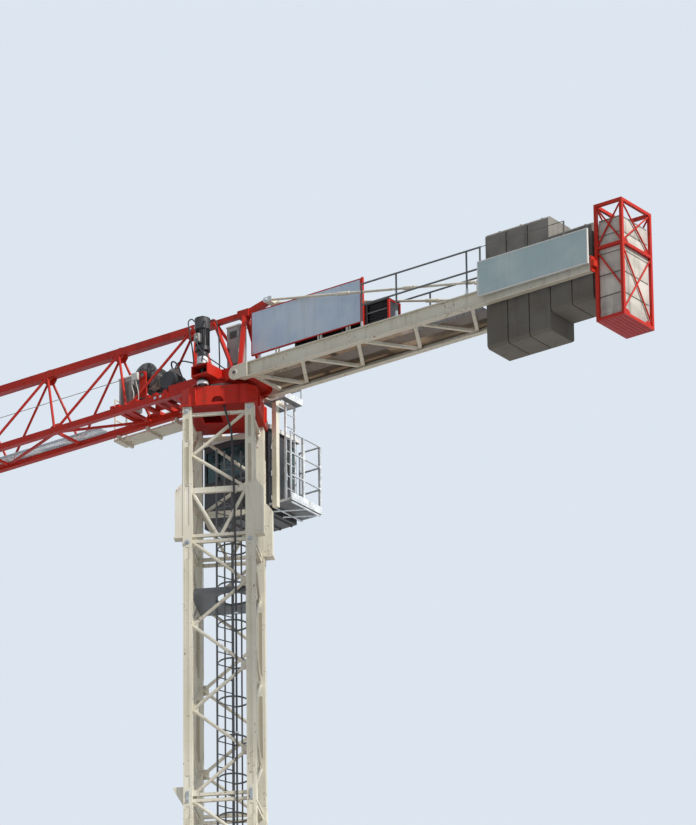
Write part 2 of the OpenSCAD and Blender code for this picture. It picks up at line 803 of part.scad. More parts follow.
module winch_motor() {
    at = [1390, 1330];
    motor_d = 400;
    motor_l = 480;
    foot = [380, 440, 30];
    saddle = [280, 380, 220];
    color(black) over_pins() {
        block(foot, [at.x, 0, winch_deck]);
        block(saddle, [at.x, 0, winch_deck + foot.z - 5]);
        translate([at.x, 0, at.y]) rotate([90, 0, 0]) cylinder(d = motor_d, h = motor_l, center = true, $fn = 48);
    }
}

module cabinets() {
    winch_box = [[2450, -200], [2800, 200], 1720];
    head_box = [[-530, -150], [-170, 100], 2220];
    color(galvanised) over_pins() {
        box([winch_box[0].x, winch_box[0].y, winch_deck], [winch_box[1].x, winch_box[1].y, winch_box[2]]);
        box([head_box[0].x, head_box[0].y, table_top], [head_box[1].x, head_box[1].y, head_box[2]]);
    }
}

module hoist_ropes() {
    rope_d = 16;
    lead_z = drum_z + drum_d / 2 + rope_d / 2 + 6;
    color(black) over_pins() rod([drum_x, 0, lead_z], [nose_x, 0, lead_z], rope_d, 6);
}

module trolley() {
    x = node_bottom(5);
    wheel_d = 140;
    wheel_z = chord_top + wheel_d / 2 + 0.2;
    plate_y = (jib_w + bottom_chord_w) / 2 + 15;
    plate_t = 30;
    frame_z = [500, 590];
    color(red) over_pins() both_sides() {
        box([x - 500, plate_y, frame_z[0]], [x + 500, plate_y + plate_t, 720]);
        for (dx = [-420, 420]) {
            box([x + dx - 60, plate_y, 700], [x + dx + 60, plate_y + plate_t, wheel_z + 60]);
            translate([x + dx, plate_y + 5, wheel_z]) rotate([90, 0, 0]) cylinder(d = wheel_d, h = 70, $fn = 48);
            box([x + dx - 50, -5, frame_z[0]], [x + dx + 50, plate_y + 5, frame_z[1]]);
        }
        box([x - 150, -5, frame_z[0]], [x - 90, plate_y + 5, frame_z[1]]);
        box([x + 90, -5, frame_z[0]], [x + 150, plate_y + 5, frame_z[1]]);
    }
}

module hook_block() {
    x = node_bottom(5);
    hang_z = 500;
    top = -280;
    cheek_t = 25;
    sheave_d = 320;
    hook_d = 60;
    hook_r = 110;
    color(red) over_pins() {
        for (dx = [-120, 120])
            rod([x + dx, 0, top - 60], [x + dx, 0, hang_z], 18, 6);
        for (y = [-55, 55])
            upright(y, cheek_t) translate([x, 0]) polygon([
                [-230, top], [230, top], [260, top - 160], [110, top - 420], [-110, top - 420], [-260, top - 160]
            ]);
        for (dx = [-120, 120])
            translate([x + dx, 0, top - 170]) rotate([90, 0, 0])
                cylinder(d = sheave_d - 90, h = 100, center = true, $fn = 48);
        block([160, 90, 120], [x, 0, top - 420]);
        translate([x, 0, top - 600]) cylinder(d = hook_d, h = 200, $fn = 32);
        translate([x, 0, top - 600 - hook_r]) rotate([90, 0, 0]) rotate([0, 0, 90])
            rotate_extrude(angle = -250, $fn = 64) translate([hook_r, 0]) circle(d = hook_d, $fn = 24);
    }
}

module cj_beam() {
    h = cj_beam_h / 2;
    w = cj_beam_w / 2;
    s = cj_web / 2;
    f = h - cj_flange;
    root_x = -960;
    tongue_x = -1150;
    eye_r = 115;
    translate([cj_end, cj_beam_pitch / 2, cj_z]) rotate([90, 0, 90]) linear_extrude(root_x - cj_end)
        polygon([
            [-w, -h], [w, -h], [w, -f], [s, -f], [s, f], [w, f],
            [w, h], [-w, h], [-w, f], [-s, f], [-s, -f], [-w, -f]
        ]);
    upright(cj_beam_pitch / 2, tongue_t) difference() {
        union() {
            polygon([
                [tongue_x, cj_z - h + 5], [root_x, cj_z - h + 5], [root_pin.x + 37, root_pin.y - 108],
                root_pin, [root_pin.x + 42, root_pin.y + 106], [root_x, cj_z + h - 5], [tongue_x, cj_z + h - 5]
            ]);
            translate(root_pin) circle(r = eye_r, $fn = 64);
        }
        translate(root_pin) circle(d = root_pin_d + 0.6, $fn = 48);
    }
}

module counterjib_frame() {
    half = cj_beam_pitch / 2 - cj_web / 2 + 4;
    brace_h = 60;
    brace_z = cj_floor - brace_h;
    color(cream) over_pins() {
        both_sides() cj_beam();
        intersection() {
            for (i = [0:3], next = [0, 1]) {
                near = [cj_brace_near[i + next], cj_beam_pitch / 2, brace_z + brace_h / 2];
                far = [cj_brace_far[i], -cj_beam_pitch / 2, brace_z + brace_h / 2];
                past = 0.08 * (near - far);
                bar(near + past, far - past, 80, brace_h - 6 * next);
            }
            box([cj_end, -half, 0], [0, half, 2 * cj_z]);
        }
        for (x = [cj_end, deck_x[1] + 10])
            box([x, -half, brace_z + 20], [x + 60, half, cj_top - 60]);
        for (x = cj_bearers)
            box([x - 40, -half, bearer_top - 70], [x + 40, half, bearer_top]);
        both_sides()
            box([lug_x - 80, lug_y - 15, cj_top - 5], [lug_x + 80, lug_y + 15, 1250]);
    }
}

module counterjib_pins() {
    inner_y = 535;
    outer_y = cj_beam_pitch / 2 + tongue_t / 2 + 40;
    color(galvanised) over_pins() both_sides() {
        upright((inner_y + outer_y + 10) / 2, outer_y + 10 - inner_y) translate(root_pin) circle(d = root_pin_d, $fn = 48);
        upright(outer_y + 9, 18) translate(root_pin) circle(d = root_pin_d + 50, $fn = 48);
    }
}

module counterjib_deck() {
    half = cj_beam_pitch / 2 - cj_web / 2 - 6;
    color(galvanised) over_pins() box([deck_x[0], -half, cj_floor], [deck_x[1], half, cj_floor + 30]);
}

module handrails() {
    posts = handrail_x;
    top = cj_top + rail_h - post_d / 2;
    color(galvanised) over_pins() both_sides() {
        for (x = posts)
            rod([x, handrail_y, cj_top], [x, handrail_y, top], post_d, 6);
        for (z = [cj_top + rail_h / 2, top])
            rod([posts[0] + post_d / 2, handrail_y, z], [posts[3] - post_d / 2, handrail_y, z], post_d, 6);
        rod([posts[3], handrail_y, top], [posts[4], handrail_y, top], 18, 6);
    }
}

module resistor_bank() {
    color(black) over_pins()
        box([bank_x[0], bank_y[0], bearer_top], [bank_x[1], bank_y[1], bank_top]);
}

module name_panels() {
    outer_y = cj_beam_pitch / 2 + cj_beam_w / 2;
    stand_off = 20;
    post_t = 40;
    bracket = 60;
    color("lightsteelblue") over_pins() {
        // the board over the walkway, inside the near tie
        box([board_x[0], bank_y[1] + post_t - 5, board_z[0]], [board_x[1], bank_y[1] + post_t - 5 + board_t, board_z[1]]);
        for (x = [for (i = [0:2]) cj_bearers[i]])
            box([x - 25, bank_y[1], bearer_top], [x + 25, bank_y[1] + post_t, board_z[1] - 40]);
        box([side_board_x[0], outer_y + stand_off, side_board_z[0]],
            [side_board_x[1], outer_y + stand_off + board_t, side_board_z[1]]);
        for (x = [side_board_x[1] - 430, side_board_x[0] + 450])
            box([x - bracket / 2, outer_y, cj_top - 50], [x + bracket / 2, outer_y + stand_off + 5, cj_top]);
    }
}

module tie_bars() {
    eye_t = 14;
    yoke_x = -1400;
    eye_y = lug_y + 15 + eye_t / 2;
    end_z = 1190;
    color(cream) over_pins() {
        box([yoke_x, -140, horn_z - 60], [horn_x, 140, horn_z + 50]);
        both_sides() {
            rod([yoke_x + 40, 100, horn_z - 20], [lug_x + 90, eye_y, end_z + 20], tie_d, 8);
            upright(eye_y, eye_t) {
                translate([lug_x, end_z]) circle(r = 45, $fn = 32);
                translate([lug_x, end_z - 40]) square([130, 80]);
            }
            upright(eye_y + 10, 20) translate([lug_x, end_z]) circle(d = 44, $fn = 24);
        }
    }
}

module ballast_block(x, z0, height) {
    bevel = 60;
    seat = [120, cj_beam_pitch + 80, 90];   // steel bar through the block, on the beams
    translate([x - block_t, 0, z0]) rotate([90, 0, 90]) linear_extrude(block_t)
        polygon([
            [-block_w / 2 + bevel, 0], [block_w / 2 - bevel, 0], [block_w / 2, bevel],
            [block_w / 2, height - bevel], [block_w / 2 - bevel, height], [-block_w / 2 + bevel, height],
            [-block_w / 2, height - bevel], [-block_w / 2, bevel]
        ]);
    block(seat, [x - block_t / 2, 0, cj_top]);
}

module counterjib_ballast() {
    play = 10;
    color(concrete) over_pins() {
        for (i = [0:4])
            ballast_block(block_x - i * block_pitch, i < 3 ? tall_block_z : short_block_z, i < 3 ? tall_block_h : short_block_h);
        box([cage_x[0] + cage_t / 2 + play, cage_y[0] + cage_t / 2 + play, cage_floor],
            [cage_x[1] - cage_t / 2 - play, cage_y[1] - cage_t / 2 - play, cage_fill]);
    }
}

module end_cage() {
    outer_y = cj_beam_pitch / 2 + cj_beam_w / 2;
    color(red) over_pins() {
        for (x = cage_x, y = cage_y)
            bar([x, y, cage_z[0] - cage_t / 2], [x, y, cage_z[2] + cage_t / 2], cage_t, cage_t);
        for (z = cage_z) {
            for (y = cage_y)
                bar([cage_x[0], y, z], [cage_x[1], y, z], cage_t, cage_t);
            for (x = cage_x)
                bar([x, cage_y[0], z], [x, cage_y[1], z], cage_t, cage_t);
        }
        box([cage_x[0], cage_y[0], cage_floor - 30], [cage_x[1], cage_y[1], cage_floor]);
        // cross bar and end plates on the counterjib beams
        bar([cage_x[1], -outer_y, cj_z], [cage_x[1], outer_y, cj_z], cage_t, 150);
        both_sides()
            box([cage_x[1] + cage_t / 2 - 5, outer_y - cj_beam_w, cj_z - cj_beam_h / 2], [cj_end, outer_y, cj_top]);
    }
}

module cab_shell() {
    y0 = cab_y - cab_w;
    body_h = cab_h - cab_roof;
    eave = 60;
    color([0.1, 0.1, 0.11]) over_pins() translate([cab_x, y0, cab_z]) difference() {
        union() {
            cube([cab_l, cab_w, body_h]);
            box([-eave, -eave, body_h], [cab_l + eave, cab_w + eave / 2, cab_h]);
        }
        box([cab_wall, cab_wall, cab_wall], [cab_l - cab_wall, cab_w - cab_wall, body_h]);
        for (w = SIDE_WINDOWS)
            box([w[0], -1, w[2]], [w[1], cab_w + 1, w[3]]);
        box([cab_l - cab_wall - 1, FRONT_WINDOW[0], FRONT_WINDOW[2]], [cab_l + 1, FRONT_WINDOW[1], FRONT_WINDOW[3]]);
        for (w = [DOOR, REAR_WINDOW])
            box([-1, w[0], w[2]], [cab_wall + 1, w[1], w[3]]);
    }
}

module cab_glass() {
    pane = 10;
    depth = (cab_wall - pane) / 2;
    color([0.1, 0.4, 0.42, 0.5]) over_pins() translate([cab_x, cab_y - cab_w, cab_z]) {
        for (w = SIDE_WINDOWS, y = [depth, cab_w - depth - pane])
            box([w[0], y, w[2]], [w[1], y + pane, w[3]]);
        box([cab_l - depth - pane, FRONT_WINDOW[0], FRONT_WINDOW[2]], [cab_l - depth, FRONT_WINDOW[1], FRONT_WINDOW[3]]);
        box([depth, REAR_WINDOW[0], REAR_WINDOW[2]], [depth + pane, REAR_WINDOW[1], REAR_WINDOW[3]]);
    }
}

module cab_door() {
    color([0.2, 0.2, 0.2]) over_pins() translate([cab_x, cab_y - cab_w, cab_z])
        box([5, DOOR[0], DOOR[2]], [cab_wall - 5, DOOR[1], DOOR[3]]);
}

module cab_hanger() {
    post = 115;
    arm_w = 150;
    arm_h = 120;
    beam_face = -table_y - table_beam_w / 2;
    roof_z = cab_z + cab_h;
    neck_w = 100;
    color(red) over_pins() {
        box([arm_x, -1640, arm_z], [arm_x + arm_w, beam_face, arm_z + arm_h]);
        box([arm_x - post, cab_y, cab_z], [arm_x + 5, cab_y + post, arm_z + arm_h]);
        for (x = [-210, 1000])
            translate([x, 0, 0]) rotate([90, 0, 90]) linear_extrude(neck_w, center = true) polygon([
                [beam_face, arm_z], [beam_face, arm_z + arm_h], [-930, 880], [-1160, 700],
                [-1330, roof_z], [-1215, roof_z], [-1080, 610], [-890, arm_z]
            ]);
    }
}

module cab_platform() {
    x_out = -930;
    y_out = -2400;
    deck_t = 60;
    rail_x = x_out + 20;
    rail_end = y_out + 20;
    rail_top = -20;
    landing_y = [-1700, -1040];
    landing_t = 40;
    ladder_x = -750;
    ladder_y = [-1630, -1290];
    ladder_top = 850;
    side = 40;
    hatch = [[ladder_x - side / 2 + 5, -1655], [arm_x + 12, -1120]];
    guard_top = 1470;
    color(galvanised) over_pins() {
        box([x_out, y_out, balcony_z - deck_t], [cab_x, cab_y, balcony_z]);
        for (at = [[rail_x, cab_y - 20], [rail_x, -1740], [rail_x, rail_end], [cab_x - 30, rail_end]])
            rod([at.x, at.y, balcony_z - 20], [at.x, at.y, rail_top], post_d, 6);
        for (z = [balcony_z + 550, balcony_z + 1080, rail_top]) {
            rod([rail_x, cab_y, z], [rail_x, rail_end - post_d / 2, z], post_d, 6);
            rod([rail_x - post_d / 2, rail_end, z], [cab_x - 10, rail_end, z], post_d, 6);
        }
        for (y = ladder_y)
            block([side, side, ladder_top - balcony_z + 20], [ladder_x, y, balcony_z - 20]);
        for (z = [balcony_z + 280:rung_pitch:ladder_top - 300])
            rod([ladder_x, ladder_y[0], z], [ladder_x, ladder_y[1], z], 26, 6);
        difference() {
            box([x_out, landing_y[0], arm_z - landing_t], [cab_x, landing_y[1], arm_z]);
            box([hatch[0].x, hatch[0].y, arm_z - 2 * landing_t], [hatch[1].x, hatch[1].y, arm_z + 1]);
        }
        for (at = [[rail_x, landing_y[1] - 22], [rail_x, landing_y[0] + 22], [cab_x - 25, landing_y[0] + 22]])
            rod([at.x, at.y, arm_z - 20], [at.x, at.y, guard_top], post_d, 6);
        for (z = [arm_z + 350, guard_top]) {
            rod([rail_x, landing_y[1], z], [rail_x, landing_y[0], z], post_d, 6);
            rod([x_out, landing_y[0] + 22, z], [cab_x, landing_y[0] + 22, z], post_d, 6);
        }
    }
}

base_frame();
section_frames(1);  // section_1_frames
section_sides(1);  // section_1_sides
section_frames(2);  // section_2_frames
section_sides(2);  // section_2_sides
section_frames(3);  // section_3_frames
section_sides(3);  // section_3_sides
support_frames();
support_sides();
climbing_consoles();
joint_pins();
mast_ladder();
landings();
power_cable();
ring_support();
slewing_ring();
turntable();
slew_motor();
tower_head();
jib_top_chord();
jib_side();  // jib_near_side
mirror([0, 1, 0]) jib_side();  // jib_far_side
jib_bottom_bracing();
winch_catwalk();
winch_frame();
hoist_drum();
winch_motor();
cabinets();
hoist_ropes();
trolley();
hook_block();
counterjib_frame();
counterjib_pins();
counterjib_deck();
handrails();
resistor_bank();
name_panels();
tie_bars();
counterjib_ballast();
end_cage();
cab_shell();
cab_glass();
cab_door();
cab_hanger();
cab_platform();
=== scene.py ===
import json
import math

import bmesh
import bpy
from mathutils import Matrix, Vector


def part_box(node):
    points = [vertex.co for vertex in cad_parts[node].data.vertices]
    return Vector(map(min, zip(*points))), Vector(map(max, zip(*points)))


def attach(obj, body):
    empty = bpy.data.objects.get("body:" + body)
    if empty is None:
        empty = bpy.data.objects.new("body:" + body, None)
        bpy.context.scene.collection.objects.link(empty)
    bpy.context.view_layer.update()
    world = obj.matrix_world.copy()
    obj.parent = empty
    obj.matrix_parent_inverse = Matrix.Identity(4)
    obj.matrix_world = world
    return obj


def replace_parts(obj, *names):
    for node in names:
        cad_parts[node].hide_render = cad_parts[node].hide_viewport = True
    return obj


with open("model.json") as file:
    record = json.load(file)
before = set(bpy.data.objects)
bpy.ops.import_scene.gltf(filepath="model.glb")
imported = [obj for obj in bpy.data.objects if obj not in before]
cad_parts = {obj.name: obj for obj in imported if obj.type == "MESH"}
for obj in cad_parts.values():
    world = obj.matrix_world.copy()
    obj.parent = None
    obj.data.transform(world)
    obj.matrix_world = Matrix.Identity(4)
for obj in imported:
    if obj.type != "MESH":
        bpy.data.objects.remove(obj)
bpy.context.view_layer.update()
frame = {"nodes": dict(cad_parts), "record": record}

PINS = 21.89                      # height of the mast's top pins
ON_MAST = Matrix.Rotation(math.radians(27.9), 4, "Z")
FOOT, SECTION = 0.6, 6.08         # foot of the lowest section, and a section's height
LEG, LEG_IN, LEG_OUT = 0.7, 0.6, 0.8      # a leg's middle and faces, from the mast's axis
LACE_TOP, LACE_STEP = 6.01, 0.99  # highest joint of a section's lacing, and the step down to the next
LACED_FACES = ((0, 1), (180, 1), (90, 1), (270, -1))      # each face's turn, and the side it starts on
TABLE_TOP = 1.0206                # heights from here on are over the pins
WINCH_DECK = 0.955
LOW_NODE, HIGH_NODE, BAY = 0.33, 0.88, 2.05               # first nodes of the jib's chords, and their step
TOP_CHORD = 2.48                  # middle of the jib's top chord
DRIVE = (-0.07, 0.87)             # axis of the slewing drive
DRUM = (2.04, 1.6)                # drum's axis along the jib and up
MOTOR = (1.39, 1.33)              # and the hoist motor's
CAB = ((-0.3, -2.3, -1.78), (1.5, -1.25, 0.2))            # two corners of the cab's shell
SIDES = (-1, 1)
ZINC, BRIGHT, DULL = "galvanised_steel", "bright_galvanised", "dark_galvanised"
STEEL, RUBBER = "dark_steel", "black_rubber"
BLACK, RED, CREAM, GREY, PALE = (paint + "_paint" for paint in ("black", "red", "cream", "grey", "pale"))


def over(x, y, z):
    """A point given over the mast's top pins."""
    return Vector((x, y, PINS + z))


def moved(x, y, z):
    return Matrix.Translation((x, y, z))


def at(x, y, z):
    return Matrix.Translation(over(x, y, z))


def spun(degrees, axis="z"):
    return Matrix.Rotation(math.radians(degrees), 4, axis.upper())


def ring_of(count, place=Matrix.Identity(4), axis="z", start=0, centre=Matrix.Identity(4)):
    """Places all the way round an axis."""
    return [centre @ spun(start + 360 / count * k, axis) @ place for k in range(count)]


def both_ways(centre):
    return [centre, centre @ spun(180)]


# Camera, light and finishes

def set_camera():
    turn, rise, roll = math.radians(36.0), math.radians(23.43), math.radians(0.65)
    ahead = Vector((math.sin(turn) * math.cos(rise), -math.cos(turn) * math.cos(rise), math.sin(rise)))
    right = Vector((-math.cos(turn), -math.sin(turn), 0))
    up = right.cross(ahead)
    right, up = math.cos(roll) * right - math.sin(roll) * up, math.sin(roll) * right + math.cos(roll) * up
    camera = bpy.data.objects.new("photo_camera", bpy.data.cameras.new("photo_camera"))
    bpy.context.collection.objects.link(camera)
    focal, photo_height, sensor = 7420, 825, 36               # the first two in the photo's pixels
    camera.data.lens = sensor * focal / photo_height
    camera.data.clip_start, camera.data.clip_end = 10, 600
    place = Matrix((right, up, -ahead)).transposed().to_4x4()
    aim, distance = over(-3.42, 0, -0.65), 163.2
    place.translation = aim - distance * ahead
    camera.matrix_world = place
    bpy.context.scene.camera = camera


class Wire:
    """A socket that is added, multiplied and subtracted as a number is."""

    def __init__(self, tree, socket):
        self.tree, self.socket = tree, socket

    def maths(self, operation, *values):
        return self.tree.node("ShaderNodeMath", {"operation": operation}, dict(enumerate(values)))

    def __add__(self, other):
        return self.maths("ADD", self, other)

    __radd__ = __add__

    def __mul__(self, other):
        return self.maths("MULTIPLY", self, other)

    __rmul__ = __mul__

    def __sub__(self, other):
        return self.maths("SUBTRACT", self, other)

    def __rsub__(self, other):
        return self.maths("SUBTRACT", other, self)

    def __neg__(self):
        return self * -1.0


class Tree:
    """A node tree that is wired up one node at a time."""

    def __init__(self, tree):
        self.tree = tree
        tree.nodes.clear()

    def node(self, kind, settings=None, sockets=None, out=0):
        made = self.tree.nodes.new(kind)
        for key, value in (settings or {}).items():
            setattr(made, key, value)
        for key, value in (sockets or {}).items():
            if isinstance(value, Wire):
                self.tree.links.new(value.socket, made.inputs[key])
            else:
                made.inputs[key].default_value = value
        return Wire(self, made.outputs[out]) if made.outputs else None


def set_light():
    scene = bpy.context.scene
    scene.view_settings.view_transform = "Standard"
    scene.world = bpy.data.worlds.new("studio")
    scene.world.use_nodes = True
    sky = Tree(scene.world.node_tree)
    fill = sky.node("ShaderNodeBackground", sockets={"Color": (0.93, 0.96, 1.0, 1), "Strength": 0.43})
    backdrop = sky.node("ShaderNodeBackground", sockets={"Color": (0.72, 0.79, 0.87, 1)})
    seen, glossy, through = (sky.node("ShaderNodeLightPath", out=f"Is {ray} Ray")
        for ray in ("Camera", "Glossy", "Transmission"))
    seen = seen.maths("MAXIMUM", seen.maths("MAXIMUM", seen, glossy), through)
    choice = sky.node("ShaderNodeMixShader", sockets={0: seen, 1: fill, 2: backdrop})
    sky.node("ShaderNodeOutputWorld", sockets={"Surface": choice})
    lamp = bpy.data.objects.new("key_light", bpy.data.lights.new("key_light", "SUN"))
    bpy.context.collection.objects.link(lamp)
    lamp.data.energy, lamp.data.angle, lamp.data.color = 3.6, math.radians(5), (1.0, 0.97, 0.92)
    rise = math.radians(38)
    lamp.rotation_euler = Vector((-math.cos(rise), 0, math.sin(rise))).to_track_quat("Z", "Y").to_euler()


class Finish(Tree):
    """A material that is put together from its nodes."""

    def __init__(self, name):
        self.material = bpy.data.materials.new(name)
        self.material.use_nodes = True
        super().__init__(self.material.node_tree)
        self.place = self.node("ShaderNodeTexCoord", out="Object")
        self.facing_up = self.part(self.node("ShaderNodeNewGeometry", out="Normal"), "Z")

    def part(self, vector, axis):
        return self.node("ShaderNodeSeparateXYZ", sockets={0: vector}, out=axis)

    def stretched(self, stretch, shift=(0, 0, 0)):
        return self.node("ShaderNodeMapping",
            sockets={"Vector": self.place, "Location": shift, "Scale": stretch})

    def noise(self, scale, detail, stretch=(1, 1, 1), shift=(0, 0, 0)):
        return self.node("ShaderNodeTexNoise",
            sockets={"Vector": self.stretched(stretch, shift), "Scale": scale, "Detail": detail,
            "Roughness": 0.55})

    def cells(self, scale, out=0):
        return self.node("ShaderNodeTexVoronoi", {"feature": "F1"},
            {"Vector": self.stretched((1, 1, 1)), "Scale": scale}, out)

    def span(self, value, low, high):
        return self.node("ShaderNodeMapRange", {"interpolation_type": "SMOOTHSTEP"},
            {"Value": value, "From Min": low, "From Max": high})

    def spots(self, scale, detail, low, high, **place):
        return self.span(self.noise(scale, detail, **place), low, high)

    def blend(self, share, first, second):
        # a colour mix takes its colours on sockets 6 and 7 and gives the result on socket 2
        colours = {6: first, 7: second}
        sockets = {k: v if isinstance(v, Wire) else (*v, 1.0) for k, v in colours.items()}
        return self.node("ShaderNodeMix", {"data_type": "RGBA"}, {0: share, **sockets}, out=2)

    def layered(self, colour, *layers):
        """Lays tints over a colour, each with its own share."""
        for share, tint in layers:
            colour = self.blend(share, colour, tint)
        return colour

    def coat(self, colour, roughness, metallic=0.0, height=None, depth=0.002, fixed=None):
        """Closes the material: what varies goes to its own socket, and fixed values stay on the shader."""
        sockets = {"Base Color": colour, "Roughness": roughness, "Metallic": metallic, **(fixed or {})}
        if height is not None:
            sockets["Normal"] = self.node("ShaderNodeBump",
                sockets={"Height": height, "Distance": depth, "Strength": 0.7})
        shader = self.node("ShaderNodeBsdfPrincipled", sockets=sockets)
        self.node("ShaderNodeOutputMaterial", sockets={"Surface": shader})
        return self.material


def weathered_paint(name, paint, faded, grime, underside_shade_tint=None, chips=0.62, gloss=0.42, dusty=0.3, shine=0.5):
    """Site paint: sun-faded patches, rain runs, dust on top, painted shade with a warm ground bounce on the
    undersides and rust where it has chipped.
    """
    f = Finish(name)
    fading = f.spots(0.7, 5, 0.38, 0.68)
    mottle = f.noise(9, 4, shift=(4, 1, 7))
    runs_down = f.spots(7, 4, 0.5, 0.78, stretch=(1, 1, 0.1), shift=(2, 5, 1))
    patches = f.spots(1.6, 3, 0.45, 0.62, shift=(9, 2, 3))
    chipped = f.spots(19, 6, chips, chips + 0.03, shift=(1, 8, 2)) * patches
    stained = f.spots(11, 5, 0.58, 0.74, stretch=(1, 1, 0.25), shift=(6, 3, 5)) * patches
    # painted shade: faces turned downwards are blended towards a darker, warm tint, standing in for shade lit
    # by bounce from the ground
    underside_shade = f.span(-f.facing_up, 0.25, 0.95)
    dust = f.span(f.facing_up, 0.6, 0.98) * f.span(mottle, 0.3, 0.7)
    rust = (0.16, 0.05, 0.02)
    colour = f.layered(f.blend(fading * 0.75 + mottle * 0.2, paint, faded), (runs_down * 0.4, grime),
        (underside_shade * 0.5, underside_shade_tint or grime), (dust * dusty, (0.45, 0.42, 0.37)), (stained * 0.4, rust),
        (chipped * 0.9, rust))
    roughness = gloss + fading * 0.16 + runs_down * 0.12 + chipped * 0.3 + dust * 0.15
    height = f.noise(55, 3) * 0.35 + mottle * 0.25 - chipped * 0.7
    return f.coat(colour, roughness, 0.0, height, 0.0025, {"Specular IOR Level": shine})


def galvanised_steel(name, tone=1.0, bare=0.75, caked=0.0):
    """Hot-dip zinc: flakes of spangle, white bloom and dull rain marks."""
    f = Finish(name)
    flakes = f.part(f.cells(38, out=1), "X")
    bloom = f.spots(5, 5, 0.48, 0.7)
    marks = f.spots(9, 4, 0.5, 0.76, stretch=(1, 1, 0.14), shift=(3, 7, 4))
    dull, bright, white = ([min(1, c * tone) for c in tint]
        for tint in ((0.36, 0.38, 0.4), (0.52, 0.54, 0.56), (0.66, 0.67, 0.66)))
    colour = f.layered(f.blend(flakes, dull, bright), (bloom * 0.45, white), (marks * 0.4, (0.2, 0.16, 0.12)))
    # painted shade: faces turned downwards are darkened towards near black, as seen from below in shade
    if caked:
        colour = f.blend(f.span(-f.facing_up, 0.5, 0.95) * caked, colour, (0.07, 0.06, 0.05))
    roughness = 0.36 + flakes * 0.14 + bloom * 0.22 + marks * 0.15
    return f.coat(colour, roughness, bare - bloom * (bare * 0.6), flakes * 0.3 + f.noise(120, 2) * 0.3,
        0.0012)


def greased_steel(name, bare=(0.19, 0.185, 0.18), grease=(0.035, 0.03, 0.026)):
    """Bare machined steel under old grease, with dirt caught in it."""
    f = Finish(name)
    smear = f.spots(14, 5, 0.42, 0.66)
    grit = f.spots(90, 4, 0.55, 0.7, shift=(5, 1, 2))
    colour = f.layered(f.blend(smear, bare, grease), (grit * 0.5, (0.13, 0.08, 0.05)))
    return f.coat(colour, 0.5 - smear * 0.22 + grit * 0.2, 0.8 - smear * 0.6, smear * 0.5 + grit * 0.4,
        0.0015)


def cast_concrete(name, tone, lower_shade=0.0):
    """Ballast concrete: pour lines, blow holes and rain runs."""
    f = Finish(name)
    cloud = f.spots(1.3, 6, 0.36, 0.68)
    grain = f.noise(60, 5, shift=(2, 2, 9))
    pours = f.spots(3.2, 3, 0.47, 0.56, stretch=(0.12, 0.12, 1), shift=(1, 6, 2))
    holes = 1.0 - f.span(f.cells(26), 0.04, 0.11)
    runs_down = f.spots(6, 5, 0.5, 0.74, stretch=(1, 1, 0.09), shift=(8, 3, 1))
    # painted shade: faces turned downwards are darkened
    underside_shade = f.span(-f.facing_up, 0.3, 0.9)
    dull, clean, laitance = ([c * tone for c in tint]
        for tint in ((0.27, 0.25, 0.225), (0.4, 0.38, 0.345), (0.46, 0.44, 0.4)))
    colour = f.layered(f.blend(cloud, dull, clean), (pours * 0.3, laitance),
        (grain * 0.3, (0.2, 0.185, 0.165)), (runs_down * 0.55, (0.105, 0.095, 0.085)),
        (underside_shade * 0.35, (0.16, 0.13, 0.1)))
    # painted shadow: the blocks darken towards their bottoms, under the side board
    if lower_shade:
        lower_shade_mask = f.span(-f.part(f.place, "Z"), -PINS - 1.0, -PINS - 0.3)
        colour = f.blend(lower_shade_mask * lower_shade, colour, (0.085, 0.07, 0.052))
    colour = f.blend(holes * 0.7, colour, (0.07, 0.065, 0.06))
    height = grain * 0.5 + pours * 0.25 - holes * 1.2 + cloud * 0.2
    return f.coat(colour, 0.82 + grain * 0.12, 0.0, height, 0.006)


def black_hose(name):
    """Rubber jacket, chalky where the sun reaches it."""
    f = Finish(name)
    chalk = f.spots(4, 5, 0.45, 0.7)
    scuff = f.spots(60, 4, 0.6, 0.7, shift=(4, 4, 1))
    colour = f.blend(chalk * 0.6 + scuff * 0.3, (0.022, 0.022, 0.024), (0.1, 0.1, 0.1))
    return f.coat(colour, 0.55 + chalk * 0.25, 0.0, f.noise(180, 2) * 0.5, 0.0006)


def sign_sheet(name, paint, faded):
    """Painted sign sheet: chalked patches, rain runs from its top edge and fine scratches."""
    f = Finish(name)
    chalk = f.spots(1.1, 5, 0.4, 0.68)
    runs_down = f.spots(8, 4, 0.5, 0.76, stretch=(1, 1, 0.06), shift=(5, 2, 3))
    scratch = f.spots(30, 3, 0.66, 0.7, stretch=(0.12, 1, 1))
    colour = f.layered(f.blend(chalk, paint, faded), (runs_down * 0.14, (0.24, 0.23, 0.21)),
        (scratch * 0.35, (0.3, 0.3, 0.3)))
    height = f.noise(6, 2) * 0.5 + scratch * 0.2
    return f.coat(colour, 0.38 + chalk * 0.22 + runs_down * 0.1, 0.0, height, 0.002)


def tinted_glass(name):
    """Green-tinted safety glass with a film of dust."""
    f = Finish(name)
    film = f.spots(3.5, 5, 0.4, 0.75)
    colour = f.blend(film * 0.5, (0.035, 0.15, 0.17), (0.12, 0.24, 0.26))
    return f.coat(colour, 0.06 + film * 0.16, 0.0, f.noise(2.5, 2) * 0.4, 0.001,
        {"Transmission Weight": 0.6, "IOR": 1.45, "Specular IOR Level": 0.5})


def moulded_plastic(name):
    f = Finish(name)
    wear = f.spots(6, 4, 0.45, 0.7)
    colour = f.blend(wear * 0.6, (0.03, 0.03, 0.032), (0.11, 0.11, 0.11))
    return f.coat(colour, 0.5 + wear * 0.2, 0.0, f.noise(300, 2) * 0.5, 0.0005)


FINISHES = {}


